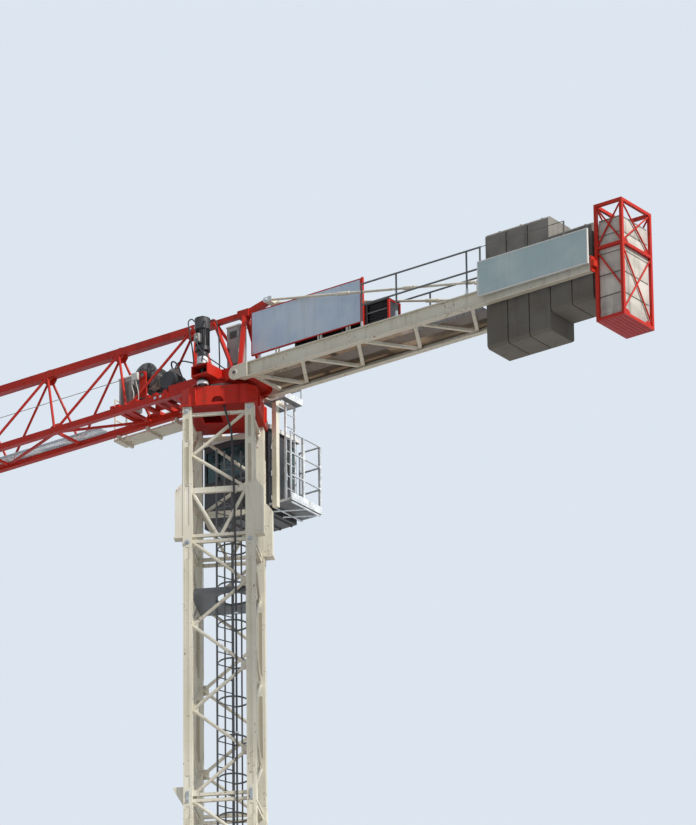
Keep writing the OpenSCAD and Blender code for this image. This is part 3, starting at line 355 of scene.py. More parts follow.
def make_finishes():
    made = [
        # painted shade: the fourth colour given to cream and red paint is the painted shade of their
        # undersides
        weathered_paint("cream_paint", (0.7, 0.66, 0.54), (0.78, 0.75, 0.65), (0.33, 0.27, 0.19),
            (0.34, 0.25, 0.15)),
        weathered_paint("red_paint", (0.5, 0.016, 0.008), (0.6, 0.034, 0.016), (0.16, 0.014, 0.01),
                        (0.2, 0.01, 0.008), gloss=0.4, dusty=0.1, shine=0.25),
        galvanised_steel("galvanised_steel"),
        galvanised_steel("dark_galvanised", 0.24, 0.12),
        galvanised_steel("bright_galvanised", 1.5, 0.3),
        # painted shade: the cab platform's zinc, made dark on its undersides
        galvanised_steel("underside_shade_galvanised", 1.4, 0.3, 0.85),
        greased_steel("dark_steel"),
        greased_steel("wound_rope", (0.42, 0.39, 0.33), (0.16, 0.14, 0.11)),
        weathered_paint("black_paint", (0.018, 0.019, 0.022), (0.045, 0.045, 0.048), (0.07, 0.055, 0.045),
                        chips=0.66, gloss=0.34, dusty=0.15),
        weathered_paint("grey_paint", (0.36, 0.34, 0.33), (0.46, 0.44, 0.42), (0.17, 0.13, 0.1)),
        weathered_paint("pale_paint", (0.66, 0.66, 0.63), (0.76, 0.76, 0.74), (0.3, 0.26, 0.21)),
        # painted shade: two darker creams for the webs inside the legs' grooves and openings
        weathered_paint("groove_shade_paint", (0.42, 0.37, 0.27), (0.5, 0.45, 0.34), (0.2, 0.15, 0.1)),
        weathered_paint("pale_groove_shade_paint", (0.6, 0.555, 0.43), (0.68, 0.64, 0.53), (0.36, 0.3, 0.21)),
        # painted shade: a dark brown for the grating, standing in for the shaded underside of a cream deck
        weathered_paint("deck_shade_brown", (0.15, 0.1, 0.06), (0.24, 0.17, 0.11), (0.06, 0.04, 0.03), dusty=0.2),
        sign_sheet("panel_paint", (0.5, 0.62, 0.78), (0.62, 0.72, 0.83)),
        sign_sheet("side_panel_paint", (0.4, 0.52, 0.54), (0.5, 0.6, 0.61)),
        black_hose("black_rubber"),
        cast_concrete("concrete", 0.68, 0.6),
        cast_concrete("pale_concrete", 1.75),
        tinted_glass("tinted_glass"),
        moulded_plastic("moulded_plastic"),
    ]
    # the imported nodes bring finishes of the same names, so these get a number after a dot
    FINISHES.update((finish.name.split(".")[0], finish) for finish in made)


def dress_cad():
    """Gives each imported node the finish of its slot."""
    slots = {part["node"]: part["material_slot"] for part in frame["record"]["subparts"]}
    slots.update(handrails="dark_galvanised", cab_platform="underside_shade_galvanised", mast_ladder="dark_galvanised",
        landings="dark_galvanised", cab_hanger="cream_paint", hoist_ropes="wound_rope")
    for name, ob in frame["nodes"].items():
        if not ob.material_slots:
            ob.data.materials.append(None)
        for slot in ob.material_slots:
            slot.material = FINISHES[slots[name]]


# Workshop: how the pieces are shaped

def put_down():
    """Leaves edit mode with nothing selected."""
    if bpy.context.object and bpy.context.object.mode != "OBJECT":
        bpy.ops.object.mode_set(mode="OBJECT")
    bpy.ops.object.select_all(action="DESELECT")


def take(ob):
    put_down()
    ob.select_set(True)
    bpy.context.view_layer.objects.active = ob


def fixed():
    """The new object's place goes into its mesh."""
    bpy.ops.object.transform_apply(location=True, rotation=True, scale=True)
    return bpy.context.object


def slab(low, high):
    """A box between two corners, to be shaped further."""
    put_down()
    low, high = Vector(low), Vector(high)
    bpy.ops.mesh.primitive_cube_add(size=1, location=(low + high) / 2, scale=high - low)
    return fixed()


def block(low, high):
    return slab(over(*low), over(*high))


def turned(centre, radius, length, axis="z", sides=24):
    """A round blank on one of the axes."""
    put_down()
    turn = {"z": (0, 0, 0), "y": (math.pi / 2, 0, 0), "x": (0, math.pi / 2, 0)}[axis]
    bpy.ops.mesh.primitive_cylinder_add(vertices=sides, radius=radius, depth=length, location=centre,
        rotation=turn)
    return fixed()


def pick(ob, test, kind="FACE"):
    """In edit mode, selects the faces or edges that pass the test."""
    take(ob)
    bpy.ops.object.mode_set(mode="EDIT")
    bpy.ops.mesh.select_mode(type=kind)
    bpy.ops.mesh.select_all(action="DESELECT")
    mesh = bmesh.from_edit_mesh(ob.data)
    for item in mesh.faces if kind == "FACE" else mesh.edges:
        item.select_set(bool(test(item)))
    bmesh.update_edit_mesh(ob.data)


def facing(x, y, z):
    way = Vector((x, y, z)).normalized()
    return lambda face: face.normal.dot(way) > 0.9


UP, DOWN, NEAR, FAR, BACK = (facing(*way)
    for way in ((0, 0, 1), (0, 0, -1), (0, 1, 0), (0, -1, 0), (-1, 0, 0)))


def runs(axis, where=lambda end: True):
    """Picks the edges along an axis, or those of them that start where the test says."""
    def test(edge):
        first, second = (getattr(v.co, axis) for v in edge.verts)
        return abs(first - second) > 0.0005 and where(edge.verts[0].co)
    return test


def above(z):
    return lambda edge: all(v.co.z > PINS + z for v in edge.verts)


def sunk(ob, test, border, depth):
    """Insets the picked faces and pushes them in, or out with a negative depth."""
    pick(ob, test)
    bpy.ops.mesh.inset(thickness=border, depth=-depth)
    put_down()
    return ob


def raised(ob, test, border, by, inner=0.0, sink=0.0):
    """A step on the picked faces: inset, drawn out, then inset and sunk again."""
    pick(ob, test)
    bpy.ops.mesh.inset(thickness=border)
    bpy.ops.mesh.extrude_region_shrink_fatten(TRANSFORM_OT_shrink_fatten={"value": by})
    if inner:
        bpy.ops.mesh.inset(thickness=inner, depth=-sink)
    put_down()
    return ob


def shifted(ob, test, by):
    pick(ob, test)
    bpy.ops.transform.translate(value=by)
    put_down()
    return ob


def narrowed(ob, test, by, **about):
    pick(ob, test)
    bpy.ops.transform.resize(value=by, **about)
    put_down()
    return ob


def pierced(ob, axis, border):
    """Opens a block from face to face along the axis, leaving a border."""
    pick(ob, lambda face: abs(getattr(face.normal, axis)) > 0.9)
    bpy.ops.mesh.inset(thickness=border)
    bpy.ops.mesh.bridge_edge_loops()
    put_down()
    return ob


def corner_bevel(ob, test, offset, segments=1):
    """Cuts or rounds the picked edges."""
    pick(ob, test, "EDGE")
    bpy.ops.mesh.bevel(offset=offset, segments=segments, affect="EDGES")
    put_down()
    return ob


def plate(low, high, axis, cut, segments=1, where=lambda end: True):
    """A slab whose edges along one axis are cut or rounded."""
    return corner_bevel(slab(low, high), runs(axis, where), cut, segments)


def softened(ob, width, segments=1):
    """Breaks every sharp edge with an applied bevel, and shades the round faces smooth."""
    take(ob)
    bevel = ob.modifiers.new("edges", "BEVEL")
    bevel.width, bevel.segments, bevel.limit_method = width, segments, "ANGLE"
    bevel.angle_limit = math.radians(30)
    bpy.ops.object.modifier_apply(modifier=bevel.name)
    bpy.ops.object.shade_smooth_by_angle(angle=math.radians(40))
    return ob


def together(objects):
    """Joins pieces that are made as one."""
    put_down()
    for ob in objects:
        ob.select_set(True)
    bpy.context.view_layer.objects.active = objects[0]
    if len(objects) > 1:
        bpy.ops.object.join()
    return objects[0]


def coated(ob, finish, edge=0, segments=1):
    """Gives a piece its finish, after its edges are softened if it says how far."""
    if edge:
        softened(ob, edge, segments)
    ob.data.materials.clear()
    ob.data.materials.append(FINISHES[finish])
    return ob


def copied(ob):
    twin = ob.copy()
    twin.data = ob.data.copy()
    bpy.context.collection.objects.link(twin)
    return twin


def repeated(pattern, places):
    """Copies of one modelled piece, each with its own mesh, joined as one."""
    copies = [copied(pattern) for _ in places]
    for twin, place in zip(copies, places):
        twin.data.transform(place)
    bpy.data.objects.remove(pattern)
    return together(copies)


def mirrored(ob):
    """The piece and its mirror image beyond the crane's middle plane, joined."""
    twin = copied(ob)
    twin.data.transform(Matrix.Scale(-1, 4, (0, 1, 0)))
    pick(twin, lambda face: True)
    bpy.ops.mesh.remove_doubles(threshold=0.00001)
    bpy.ops.mesh.normals_make_consistent(inside=False)
    put_down()
    return together([ob, twin])


def fitted(parts, name, body):
    """Joins and names a finished piece, and lets it ride on its body."""
    ob = together(parts if isinstance(parts, list) else [parts])
    put_down()
    ob.name = ob.data.name = name
    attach(ob, body)
    return ob


def along(start, end):
    """A frame at start whose Z runs towards end."""
    return Matrix.Translation(start) @ (end - start).to_track_quat("Z", "Y").to_matrix().to_4x4()


def hex_bolt(radius, head, stud=0.0):
    """A bolt that stands on z = 0: washer, six-sided head and a stub of thread."""
    washer = softened(turned((0, 0, head * 0.09), radius * 1.5, head * 0.18, sides=16), head * 0.04)
    nut = turned((0, 0, head * 0.59), radius * 1.1, head * 0.82, sides=6)
    if stud:
        raised(nut, UP, radius * 0.35, stud)
    else:
        sunk(nut, UP, radius * 0.25, -head * 0.12)
    return together([nut, washer])


def gusset(length, height, thickness, cut):
    """A plate in the plane x, z that stands on z = 0, with its two upper corners cut."""
    return softened(plate((-length / 2, -thickness / 2, 0), (length / 2, thickness / 2, height), "y", cut,
        where=lambda p: p.z > height - 0.001), thickness * 0.15)


def brace_bar(start, end, radius):
    """A tube between two points given over the pins, with its ends pressed flat."""
    start, end = over(*start), over(*end)
    length = (end - start).length
    tube = turned((0, 0, length / 2), radius, length, sides=8)
    for z, way in ((length, 1), (0, -1)):
        pick(tube, facing(0, 0, way))
        bpy.ops.mesh.inset(thickness=radius * 0.15)
        bpy.ops.mesh.extrude_region_move(TRANSFORM_OT_translate={"value": (0, 0, way * 0.01)})
        bpy.ops.transform.resize(value=(1.0, 0.4, 1.0), center_override=(0, 0, z))
    take(tube)
    tube.data.transform(along(start, end))
    bpy.ops.object.shade_smooth_by_angle(angle=math.radians(50))
    return tube


def hose(points, radius):
    """A bent conduit through the points, made a mesh."""
    put_down()
    bpy.ops.curve.primitive_bezier_curve_add()
    curve = bpy.context.object.data
    spline = curve.splines[0]
    spline.bezier_points.add(len(points) - 2)
    for handle, point in zip(spline.bezier_points, points):
        handle.co = over(*point)
        handle.handle_left_type = handle.handle_right_type = "AUTO"
    curve.dimensions, curve.resolution_u, curve.use_fill_caps = "3D", 8, True
    curve.bevel_depth, curve.bevel_resolution = radius, 2
    bpy.ops.object.convert(target="MESH")
    return fixed()


# Mast

def anchor_bolts():
    """Studs, nuts and washers on the four corner pads."""
    reach = 0.28 * math.cos(math.pi / 4)
    places = [ON_MAST @ moved(sx * LEG + dx * reach, sy * LEG + dy * reach, 0.04) for sx in SIDES
        for sy in SIDES for dx in SIDES for dy in SIDES]
    bolts = repeated(coated(hex_bolt(0.034, 0.045, 0.06), ZINC), places)
    fitted(bolts, "anchor_bolts", "mast")


def lace_joint(section, step):
    """Height at which the lacing meets a leg, counted down from a section's highest joint."""
    return FOOT + SECTION * section + LACE_TOP - step * LACE_STEP


def mast_gussets():
    """Knife plates where the lacing meets the legs, standing on their inner faces."""
    places = []
    for section in range(3):
        for step in range(7):
            for turn, first in LACED_FACES:
                side = first * (-1) ** step
                places.append(ON_MAST @ spun(turn) @ moved(side * LEG_IN, LEG, lace_joint(section, step))
                    @ spun(-side * 90, "y"))
    knife = coated(gusset(0.24, 0.13, 0.014, 0.07), CREAM)
    fitted(repeated(knife, places), "mast_gussets", "mast")


def stadium(width, length, thickness):
    """A plate with round ends in the plane x, z, that stands out along +Y."""
    return plate((-width / 2, 0, -length / 2), (width / 2, thickness, length / 2), "y", width * 0.48, 5)


def leg_slots():
    """Grooves along the legs' outer faces, and openings with round ends in their inner faces, with their webs
    darker as painted shade in the recess.
    """
    slots = []
    for length, web_shade in ((1.5, "groove_shade_paint"), (5.1, "pale_groove_shade_paint"), (0.95, "groove_shade_paint"), (0.55, "groove_shade_paint")):
        rim = coated(pierced(stadium(0.1, length, 0.006), "y", 0.013), CREAM)
        slots.append(together([rim, coated(stadium(0.092, length - 0.008, 0.0015), web_shade)]))
    places = ([], [], [], [])
    for turn, first in LACED_FACES:
        face = ON_MAST @ spun(turn)
        for side in SIDES:
            for section in range(3):
                # an opening lies between two plates of the lacing, which are every other step up the leg
                for step in (1, 3, 5) if first == side else (2, 4):
                    places[0].append(face @ moved(side * LEG_IN, LEG, lace_joint(section, step))
                        @ spun(side * 90))
                places[1].append(face @ moved(side * LEG, LEG_OUT, FOOT + SECTION * (section + 0.5)))
            places[2].append(face @ at(side * LEG, LEG_OUT, -1.33))
            places[3].append(face @ at(side * LEG, LEG_OUT, -0.45))
    fitted([repeated(slot, spots) for slot, spots in zip(slots, places)], "leg_slots", "mast")


def joint_cheeks():
    """Thick cheeks over the legs' ends at every joint of the mast."""
    cheek = sunk(plate((-0.085, 0, -0.17), (0.085, 0.012, 0.17), "y", 0.03, 2), NEAR, 0.02, 0.004)
    places = [ON_MAST @ moved(sx * LEG_OUT, sy * LEG, FOOT + SECTION * k) @ spun(-sx * 90) for k in range(4)
        for sx in SIDES for sy in SIDES]
    fitted(repeated(coated(cheek, CREAM), places), "joint_cheeks", "mast")


def landing_edges():
    """Toe boards and a kerb round the hatch of each landing."""
    board = plate((-0.585, 0.636, 0.03), (0.585, 0.644, 0.14), "y", 0.02)
    pick(board, UP)
    bpy.ops.mesh.extrude_region_move(TRANSFORM_OT_translate={"value": (0, -0.012, 0.004)})
    put_down()
    below_joint = 1.29
    levels = [ON_MAST @ moved(0, 0, FOOT + SECTION * k - below_joint) for k in (1, 2, 3)]
    boards = repeated(coated(board, DULL), [level @ spun(t) for level in levels for t in (0, 90, 180, 270)])
    kerb = plate((0.372, -0.0275, 0.028), (0.38, 0.0275, 0.062), "y", 0.003, where=lambda p: p.z > 0.06)
    hatch = spun(45) @ moved(0, 0.3135, 0)
    kerbs = repeated(coated(kerb, DULL), [level @ hatch @ spun(a) for level in levels
        for a in range(-52, 233, 8)])
    fitted([boards, kerbs], "landing_edges", "mast")


def cable_clamps():
    """Saddles that hold the power cable to the mast."""
    saddle = plate((-0.045, -0.03, -0.02), (0.045, 0.03, 0.02), "z", 0.022, 3, lambda p: p.y > 0)
    saddle = coated(sunk(saddle, NEAR, 0.012, -0.004), ZINC)
    spots = [(-0.38, z) for z in (1.3, 3.2, 5.2, 7.3, 9.3, 11.3)] + [(-0.378, 14.2), (-0.374, 17.0)]
    fitted(repeated(saddle, [ON_MAST @ moved(x, 0.757, z) for x, z in spots]), "cable_clamps", "mast")


def ring_bolts():
    """The ring's holding-down bolts on the ring support, all the way round."""
    bolt = coated(hex_bolt(0.019, 0.026, 0.014), STEEL)
    fitted(repeated(bolt, ring_of(48, at(0.79, 0, 0.55))), "ring_bolts", "mast")


def ring_teeth():
    """The gear rim of the lower ring."""
    tooth = narrowed(block((0.73, -0.012, 0.558), (0.744, 0.012, 0.628)), facing(1, 0, 0), (1, 0.55, 1))
    fitted(repeated(coated(tooth, STEEL), ring_of(120)), "ring_teeth", "mast")


def support_ribs():
    """Upright ribs on the ring support's walls, beside its arches."""
    rib = plate((-0.009, 0.845, 0.128), (0.009, 0.9, 0.528), "x", 0.03, where=lambda p: p.y > 0.89)
    places = [ON_MAST @ at(0, 0, 0) @ spun(t) @ moved(x, 0, 0) for t in (0, 90, 180, 270)
        for x in (-0.46, 0.5)]
    fitted(repeated(coated(rib, RED, 0.003), places), "support_ribs", "mast")


def pin_keepers():
    """Keeper plates over the mast's top pins."""
    keeper = sunk(plate((-0.035, 0, -0.012), (0.035, 0.01, 0.012), "y", 0.009, 2), NEAR, 0.004, -0.006)
    places = [ON_MAST @ spun(turn) @ at(sx * LEG, 0.838, z) for z in (0, -3.15) for sx in SIDES
        for turn in (0, 180)]
    fitted(repeated(coated(keeper, ZINC), places), "pin_keepers", "mast")


# Slewing drive, winch and cabinets

def drive_fittings():
    """Cooling fins, flange bolts, terminal box and fan cowl of the slewing drive."""
    x, y = DRIVE
    top, axis = TABLE_TOP, at(x, y, 0)
    fin = plate((0.132, -0.003, top + 0.5), (0.164, 0.003, top + 0.89), "y", 0.014, 2, lambda p: p.x > 0.16)
    fins = repeated(coated(fin, BLACK), ring_of(24, centre=axis))
    bolts = repeated(coated(hex_bolt(0.012, 0.018), ZINC),
        ring_of(10, moved(0.143, 0, top + 0.05), centre=axis))
    case = softened(block((x - 0.07, y + 0.13, top + 0.56), (x + 0.07, y + 0.23, top + 0.76)), 0.008, 2)
    raised(case, NEAR, 0.004, 0.008, 0.014, 0.003)
    cowl = turned(over(x, y, top + 1.165), 0.165, 0.04, sides=32)
    for step in (0.02, 0.03, 0.03):
        raised(cowl, UP, step, 0.006, 0.008, 0.006)
    sleeve = raised(turned(over(x, y, top + 0.14), 0.126, 0.14, sides=32), UP, 0.002, 0.03, 0.006, 0.004)
    guard = corner_bevel(turned(over(x, y, 0.65), 0.13, 0.1, sides=32), above(0.69), 0.05, 4)
    eye = pierced(block((x - 0.035, y - 0.01, top + 1.19), (x + 0.035, y + 0.01, top + 1.27)), "y", 0.014)
    fitted([fins, bolts, coated(case, GREY), coated(cowl, BLACK, 0.002), coated(sleeve, BRIGHT, 0.004),
        coated(guard, BRIGHT, 0.002), coated(eye, ZINC, 0.004, 2)], "drive_fittings", "upper")


def drum_rope():
    """Turns of rope side by side on the drum."""
    put_down()
    bpy.ops.mesh.primitive_torus_add(major_radius=0.1975, minor_radius=0.0084, major_segments=48,
        minor_segments=8, rotation=(math.pi / 2, 0, 0))
    # one side steps over by half a rope, as each turn does where it crosses to the next
    turn = shifted(fixed(), lambda face: face.calc_center_median().x > 0.12, (0, 0.006, 0))
    take(turn)
    bpy.ops.object.shade_smooth()
    x, z = DRUM
    fitted(repeated(coated(turn, "wound_rope"), [at(x, -0.186 + 0.0165 * k, z) for k in range(23)]),
        "drum_rope", "drum")


def drum_hubs():
    """Hubs, bolts and ribs on the outer faces of the drum's flanges."""
    x, z = DRUM
    hub = softened(raised(turned((0, 0.229, 0), 0.12, 0.016, "y", 32), NEAR, 0.03, 0.012), 0.003)
    bolts = repeated(hex_bolt(0.011, 0.014), ring_of(8, moved(0.165, 0.222, 0) @ spun(-90, "x"), "y"))
    rib = plate((0.12, 0.22, -0.006), (0.3, 0.236, 0.006), "z", 0.014,
        where=lambda p: p.y > 0.23 and p.x > 0.2)
    side = coated(together([hub, bolts, repeated(rib, ring_of(8, axis="y", start=22.5))]), BLACK)
    fitted(repeated(side, both_ways(at(x, 0, z))), "drum_hubs", "drum")


def hoist_motor_fittings():
    """Fins, fan cowl, terminal box and brake of the hoist motor."""
    x, z = MOTOR
    centre = at(x, 0, z)
    fin = plate((0.192, -0.2, -0.003), (0.219, 0.12, 0.003), "z", 0.012, 2, lambda p: p.x > 0.21)
    fins = repeated(coated(fin, BLACK), ring_of(36, axis="y", centre=centre))
    cowl = raised(turned((0, 0.205, 0), 0.214, 0.1, "y", 36), NEAR, 0.03, 0.014, 0.02, 0.01)
    for _ in range(3):
        raised(cowl, lambda face: face.normal.y > 0.9 and face.calc_center_median().xz.length < 0.01, 0.03,
            0.006, 0.012, 0.006)
    coated(cowl, BLACK, 0.003).data.transform(centre)
    brake = raised(turned((0, -0.25, 0), 0.15, 0.06, "y", 32), FAR, 0.03, 0.03, 0.03, 0.008)
    coated(brake, RED, 0.004).data.transform(centre)
    case = softened(block((x - 0.1, -0.1, z + 0.19), (x + 0.1, 0.08, z + 0.33)), 0.01, 2)
    raised(case, UP, 0.004, 0.012, 0.02, 0.004)
    bolts = repeated(coated(hex_bolt(0.015, 0.02, 0.012), ZINC),
        [at(x + dx, y, WINCH_DECK + 0.03) for dx in (-0.165, 0.165) for y in (-0.19, 0.19)])
    fitted([fins, cowl, brake, coated(case, GREY), bolts], "hoist_motor_fittings", "upper")


def bearing_caps():
    """Bearing housings on the outside of the drum's plates, open so that the shaft turns in them."""
    x, z = DRUM
    cap = raised(turned((0, 0.334, 0), 0.095, 0.028, "y", 32), NEAR, 0.02, 0.012, 0.014, 0.006)
    bolts = repeated(hex_bolt(0.009, 0.012), ring_of(6, moved(0.083, 0.346, 0) @ spun(-90, "x"), "y"))
    ring = coated(together([softened(cap, 0.003), bolts]), RED)
    pick(ring, lambda face: face.calc_center_median().xz.length < 0.001)
    bpy.ops.mesh.delete(type="FACE")
    put_down()
    fitted(repeated(ring, both_ways(at(x, 0, z))), "bearing_caps", "upper")


def louvre_panel(width, height, slats, upright=False):
    """A sheet cover in the plane x, z, facing +Y, with a row of pressed louvres."""
    cover = sunk(softened(slab((-width / 2, -0.002, 0), (width / 2, 0.012, height)), 0.003), NEAR, 0.02,
        0.006)
    half = ((height if upright else width) - 0.1) / 2
    slat = shifted(slab((-half, 0.004, 0), (half, 0.012, 0.016 if upright else 0.026)), DOWN, (0, 0.014, 0))
    pitch = ((width if upright else height) - (0.08 if upright else 0.14)) / slats
    if upright:
        stand = moved(0, 0, height / 2) @ spun(90, "y")
        places = [stand @ moved(0, 0, -width / 2 + 0.045 + pitch * i) for i in range(slats)]
    else:
        places = [moved(0, 0, 0.07 + pitch * i) for i in range(slats)]
    return coated(together([cover, repeated(slat, places)]), GREY)


def cabinet_doors():
    """Louvred covers, doors with handles and hinges, and drip lips of the two switch cabinets."""
    parts = [
        repeated(louvre_panel(0.31, 0.68, 9, upright=True),
            [at(2.625, 0.2, 1.0), at(2.625, -0.2, 1.0) @ spun(180)]),
        repeated(louvre_panel(0.36, 0.68, 12), [at(2.8, 0, 1.0) @ spun(-90), at(2.45, 0, 1.0) @ spun(90)]),
    ]
    for low, high in (((2.43, -0.22, 1.71), (2.82, 0.22, 1.74)), ((-0.55, -0.17, 2.21), (-0.15, 0.12, 2.24))):
        parts.append(coated(sunk(softened(block(low, high), 0.006, 2), UP, 0.03, -0.012), PALE))
    for low, high, way, paint in (((-0.51, 0.098, 1.06), (-0.19, 0.112, 2.18), NEAR, GREY),
            ((-0.51, -0.162, 1.06), (-0.19, -0.148, 2.18), FAR, PALE)):
        parts.append(coated(sunk(softened(block(low, high), 0.004), way, 0.03, 0.005), paint))
    handle = plate(over(-0.23, 0.11, 1.56), over(-0.21, 0.14, 1.72), "x", 0.012, 3, lambda p: p.y > 0.13)
    parts.append(coated(handle, BLACK, 0.002))
    hinge = raised(turned(over(-0.5, 0.116, 1.2), 0.011, 0.08, sides=12), UP, 0.003, 0.006)
    parts.append(repeated(coated(hinge, ZINC), [moved(0, 0, z) for z in (0, 0.4, 0.8)]))
    vent = coated(shifted(slab((-0.1, 0, 0), (0.1, 0.01, 0.012)), DOWN, (0, 0.01, 0)), BLACK)
    parts.append(repeated(vent, [at(-0.35, 0.106, z + 0.03 * i) for z in (1.14, 1.94) for i in range(6)]))
    fitted(parts, "cabinet_doors", "upper")


def winch_conduits():
    """Conduits from the cabinet to the hoist motor and into the tower head, and a limit box by the drum."""
    made = []
    for radius, *points in (
        (0.019, (1.39, 0.06, 1.64), (1.36, 0.14, 1.78), (1.2, 0.2, 1.72), (0.98, 0.25, 1.3),
         (0.82, 0.3, 1.03)),
        (0.016, (1.39, 0.0, 1.64), (1.3, -0.05, 1.84), (1.05, -0.1, 1.8), (0.6, -0.12, 1.5),
         (0.1, -0.14, 1.2), (-0.15, -0.1, 1.3)),
        (0.017, (2.45, 0.12, 1.3), (2.36, 0.2, 1.22), (2.28, 0.34, 1.06), (1.9, 0.38, 0.99),
         (1.5, 0.38, 0.99), (1.2, 0.38, 0.98)),
        (0.014, (-0.07, 1.1, 1.68), (-0.1, 1.14, 1.55), (-0.2, 1.02, 1.3), (-0.34, 0.7, 1.12),
         (-0.36, 0.35, 1.08), (-0.36, 0.11, 1.16)),
        (0.017, (-0.17, 0.97, 2.1), (-0.27, 1.02, 2.03), (-0.27, 1.04, 1.75), (-0.22, 1.02, 1.45),
         (-0.16, 1.02, 1.1)),
        (0.015, (0.05, 0.97, 2.13), (0.14, 1.03, 2.2), (0.16, 1.04, 1.9), (0.1, 1.03, 1.5),
         (0.07, 1.0, 1.08)),
        (0.016, (-0.22, 0.85, 2.08), (-0.33, 0.8, 2.14), (-0.38, 0.72, 1.9), (-0.35, 0.62, 1.4),
         (-0.3, 0.55, 1.05)),
        (0.01, (2.17, 0.42, 1.5), (2.14, 0.42, 1.38), (2.08, 0.42, 1.12), (2.1, 0.4, 0.96)),
        (0.01, (2.24, 0.42, 1.5), (2.26, 0.43, 1.36), (2.2, 0.44, 1.15), (2.24, 0.42, 0.96)),
    ):
        made.append(coated(hose(points, radius), PALE if radius == 0.01 else RUBBER))
        made.append(coated(turned(over(*points[0]), radius * 1.6, 0.04, sides=12), ZINC, 0.004))
    box = softened(block((2.1, 0.375, 1.48), (2.27, 0.44, 1.66)), 0.008, 2)
    made.append(coated(raised(box, NEAR, 0.006, 0.01, 0.014, 0.003), PALE))
    fitted(made, "winch_conduits", "upper")


# Jib and tower head

def jib_gussets():
    """Node plates where the jib's lacing meets its chords."""
    lean = math.degrees(math.atan2(0.43, 1.635))
    low = coated(gusset(0.36, 0.13, 0.014, 0.09), RED)
    high = coated(gusset(0.34, 0.12, 0.014, 0.085), RED)
    lows = [at(LOW_NODE + BAY * i, side * 0.462, 0.87) @ spun(side * lean, "x") for side in SIDES
        for i in range(1, 7)]
    highs = [at(HIGH_NODE + BAY * i - (0.09 if i == 6 else 0), side * 0.063, TOP_CHORD - 0.088)
        @ spun(180 + side * lean, "x") for side in SIDES for i in range(7)]
    fitted([repeated(low, lows), repeated(high, highs)], "jib_gussets", "upper")


def chord_joints():
    """Forks and pins where the jib's first section meets the tower head and its next section."""
    cheek = plate((-0.16, 0, -0.075), (0.16, 0.016, 0.075), "y", 0.05, 3)
    joint = [coated(cheek, RED, 0.003)]
    for dx in (-0.075, 0.075):
        pin = raised(turned((dx, 0.026, 0), 0.034, 0.02, "y", 20), NEAR, 0.01, 0.008)
        joint.append(coated(pin, ZINC, 0.002))
    spots = [(x, side * 0.48, 0.07, 0.805) for x in (1.42, 7.55) for side in SIDES]
    spots += [(x, 0, 0.09, TOP_CHORD) for x in (0.78, 7.0)]
    places = [at(x, y + out * reach, z) @ spun(90 - 90 * out) for x, y, reach, z in spots for out in SIDES]
    fitted(repeated(together(joint), places), "chord_joints", "upper")


def root_plates():
    """Rounded end plates of the counterjib's beams and the heads of their pins."""
    end = plate(over(-1.16, 0.65, 0.605), over(-0.655, 0.69, 0.945), "y", 0.165, 8, lambda p: p.x > -0.66)
    collar = sunk(turned(over(-0.82, 0.694, 0.77), 0.075, 0.012, "y", 32), NEAR, 0.02, -0.004)
    head = raised(turned(over(-0.82, 0.706, 0.77), 0.045, 0.022, "y", 24), NEAR, 0.012, 0.006, 0.01, 0.004)
    parts = [coated(end, CREAM, 0.004), coated(collar, CREAM, 0.002), coated(head, STEEL, 0.002)]
    fitted(mirrored(together(parts)), "root_plates", "upper")


def tie_heads():
    """The pin through the horn, the ties' yoke plates and the lugs on the top chord."""
    pin = turned(over(-1.29, 0, 2.61), 0.036, 0.36, "y", 24)
    for way in (NEAR, FAR):
        raised(pin, way, 0.008, 0.012)
    yoke = plate(over(-1.46, 0.137, 2.55), over(-1.22, 0.153, 2.67), "y", 0.045, 4)
    lug = coated(gusset(0.18, 0.06, 0.022, 0.045), RED)
    fitted([coated(pin, BRIGHT, 0.003), mirrored(coated(yoke, BRIGHT, 0.003)),
        repeated(lug, [at(HIGH_NODE + BAY * i, 0, 2.565) for i in range(6)])], "tie_heads", "upper")


def jib_walkway():
    """A narrow grating beside the far bottom chord, from the winch to the nose."""
    x0, x1, y0, y1, top = 3.62, 12.5, -0.405, -0.14, PINS + 0.885
    bar = plate((-0.003, y0, top - 0.022), (0.003, y1, top), "y", 0.0015, where=lambda p: p.z > top - 0.001)
    edge = plate((x0, y0, top - 0.035), (x1, y0 + 0.008, top + 0.03), "x", 0.002)
    rod = plate((x0, -0.003, top - 0.01), (x1, 0.003, top - 0.004), "x", 0.001)
    parts = [repeated(bar, [moved(x0 + 0.05 * i, 0, 0) for i in range(178)]),
        repeated(edge, [moved(0, y, 0) for y in (0, y1 - y0 - 0.008)]),
        repeated(rod, [moved(0, y0 + 0.053 * i, 0) for i in range(1, 5)])]
    fitted(coated(together(parts), ZINC), "jib_walkway", "upper")


# Counterjib

def counterjib_grating():
    """The walkway: a frame of flats with bearing bars across and cross rods along."""
    low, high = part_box("counterjib_deck")
    bar = plate((-0.003, low.y + 0.02, low.z + 0.002), (0.003, high.y - 0.02, high.z), "y", 0.0015,
        where=lambda p: p.z > high.z - 0.001)
    rod = plate((low.x, -0.004, high.z - 0.01), (high.x, 0.004, high.z - 0.002), "x", 0.002)
    edge = plate((low.x, low.y, low.z), (high.x, low.y + 0.006, high.z), "x", 0.001)
    pan = slab((low.x, low.y + 0.4, low.z), (high.x, high.y - 0.4, low.z + 0.004))
    parts = [repeated(bar, [moved(low.x + 0.02 + 0.045 * i, 0, 0)
        for i in range(int((high.x - low.x) / 0.045))]),
        repeated(rod, [moved(0, low.y + 0.06 + 0.105 * i, 0) for i in range(11)]),
        repeated(edge, [moved(0, y, 0) for y in (0, high.y - low.y - 0.006)]), sunk(pan, UP, 0.02, 0.001)]
    # painted shade: the grating is given the dark brown of a shaded underside
    grating = coated(together(parts), "deck_shade_brown")
    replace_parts(fitted(grating, "counterjib_grating", "upper"), "counterjib_deck")


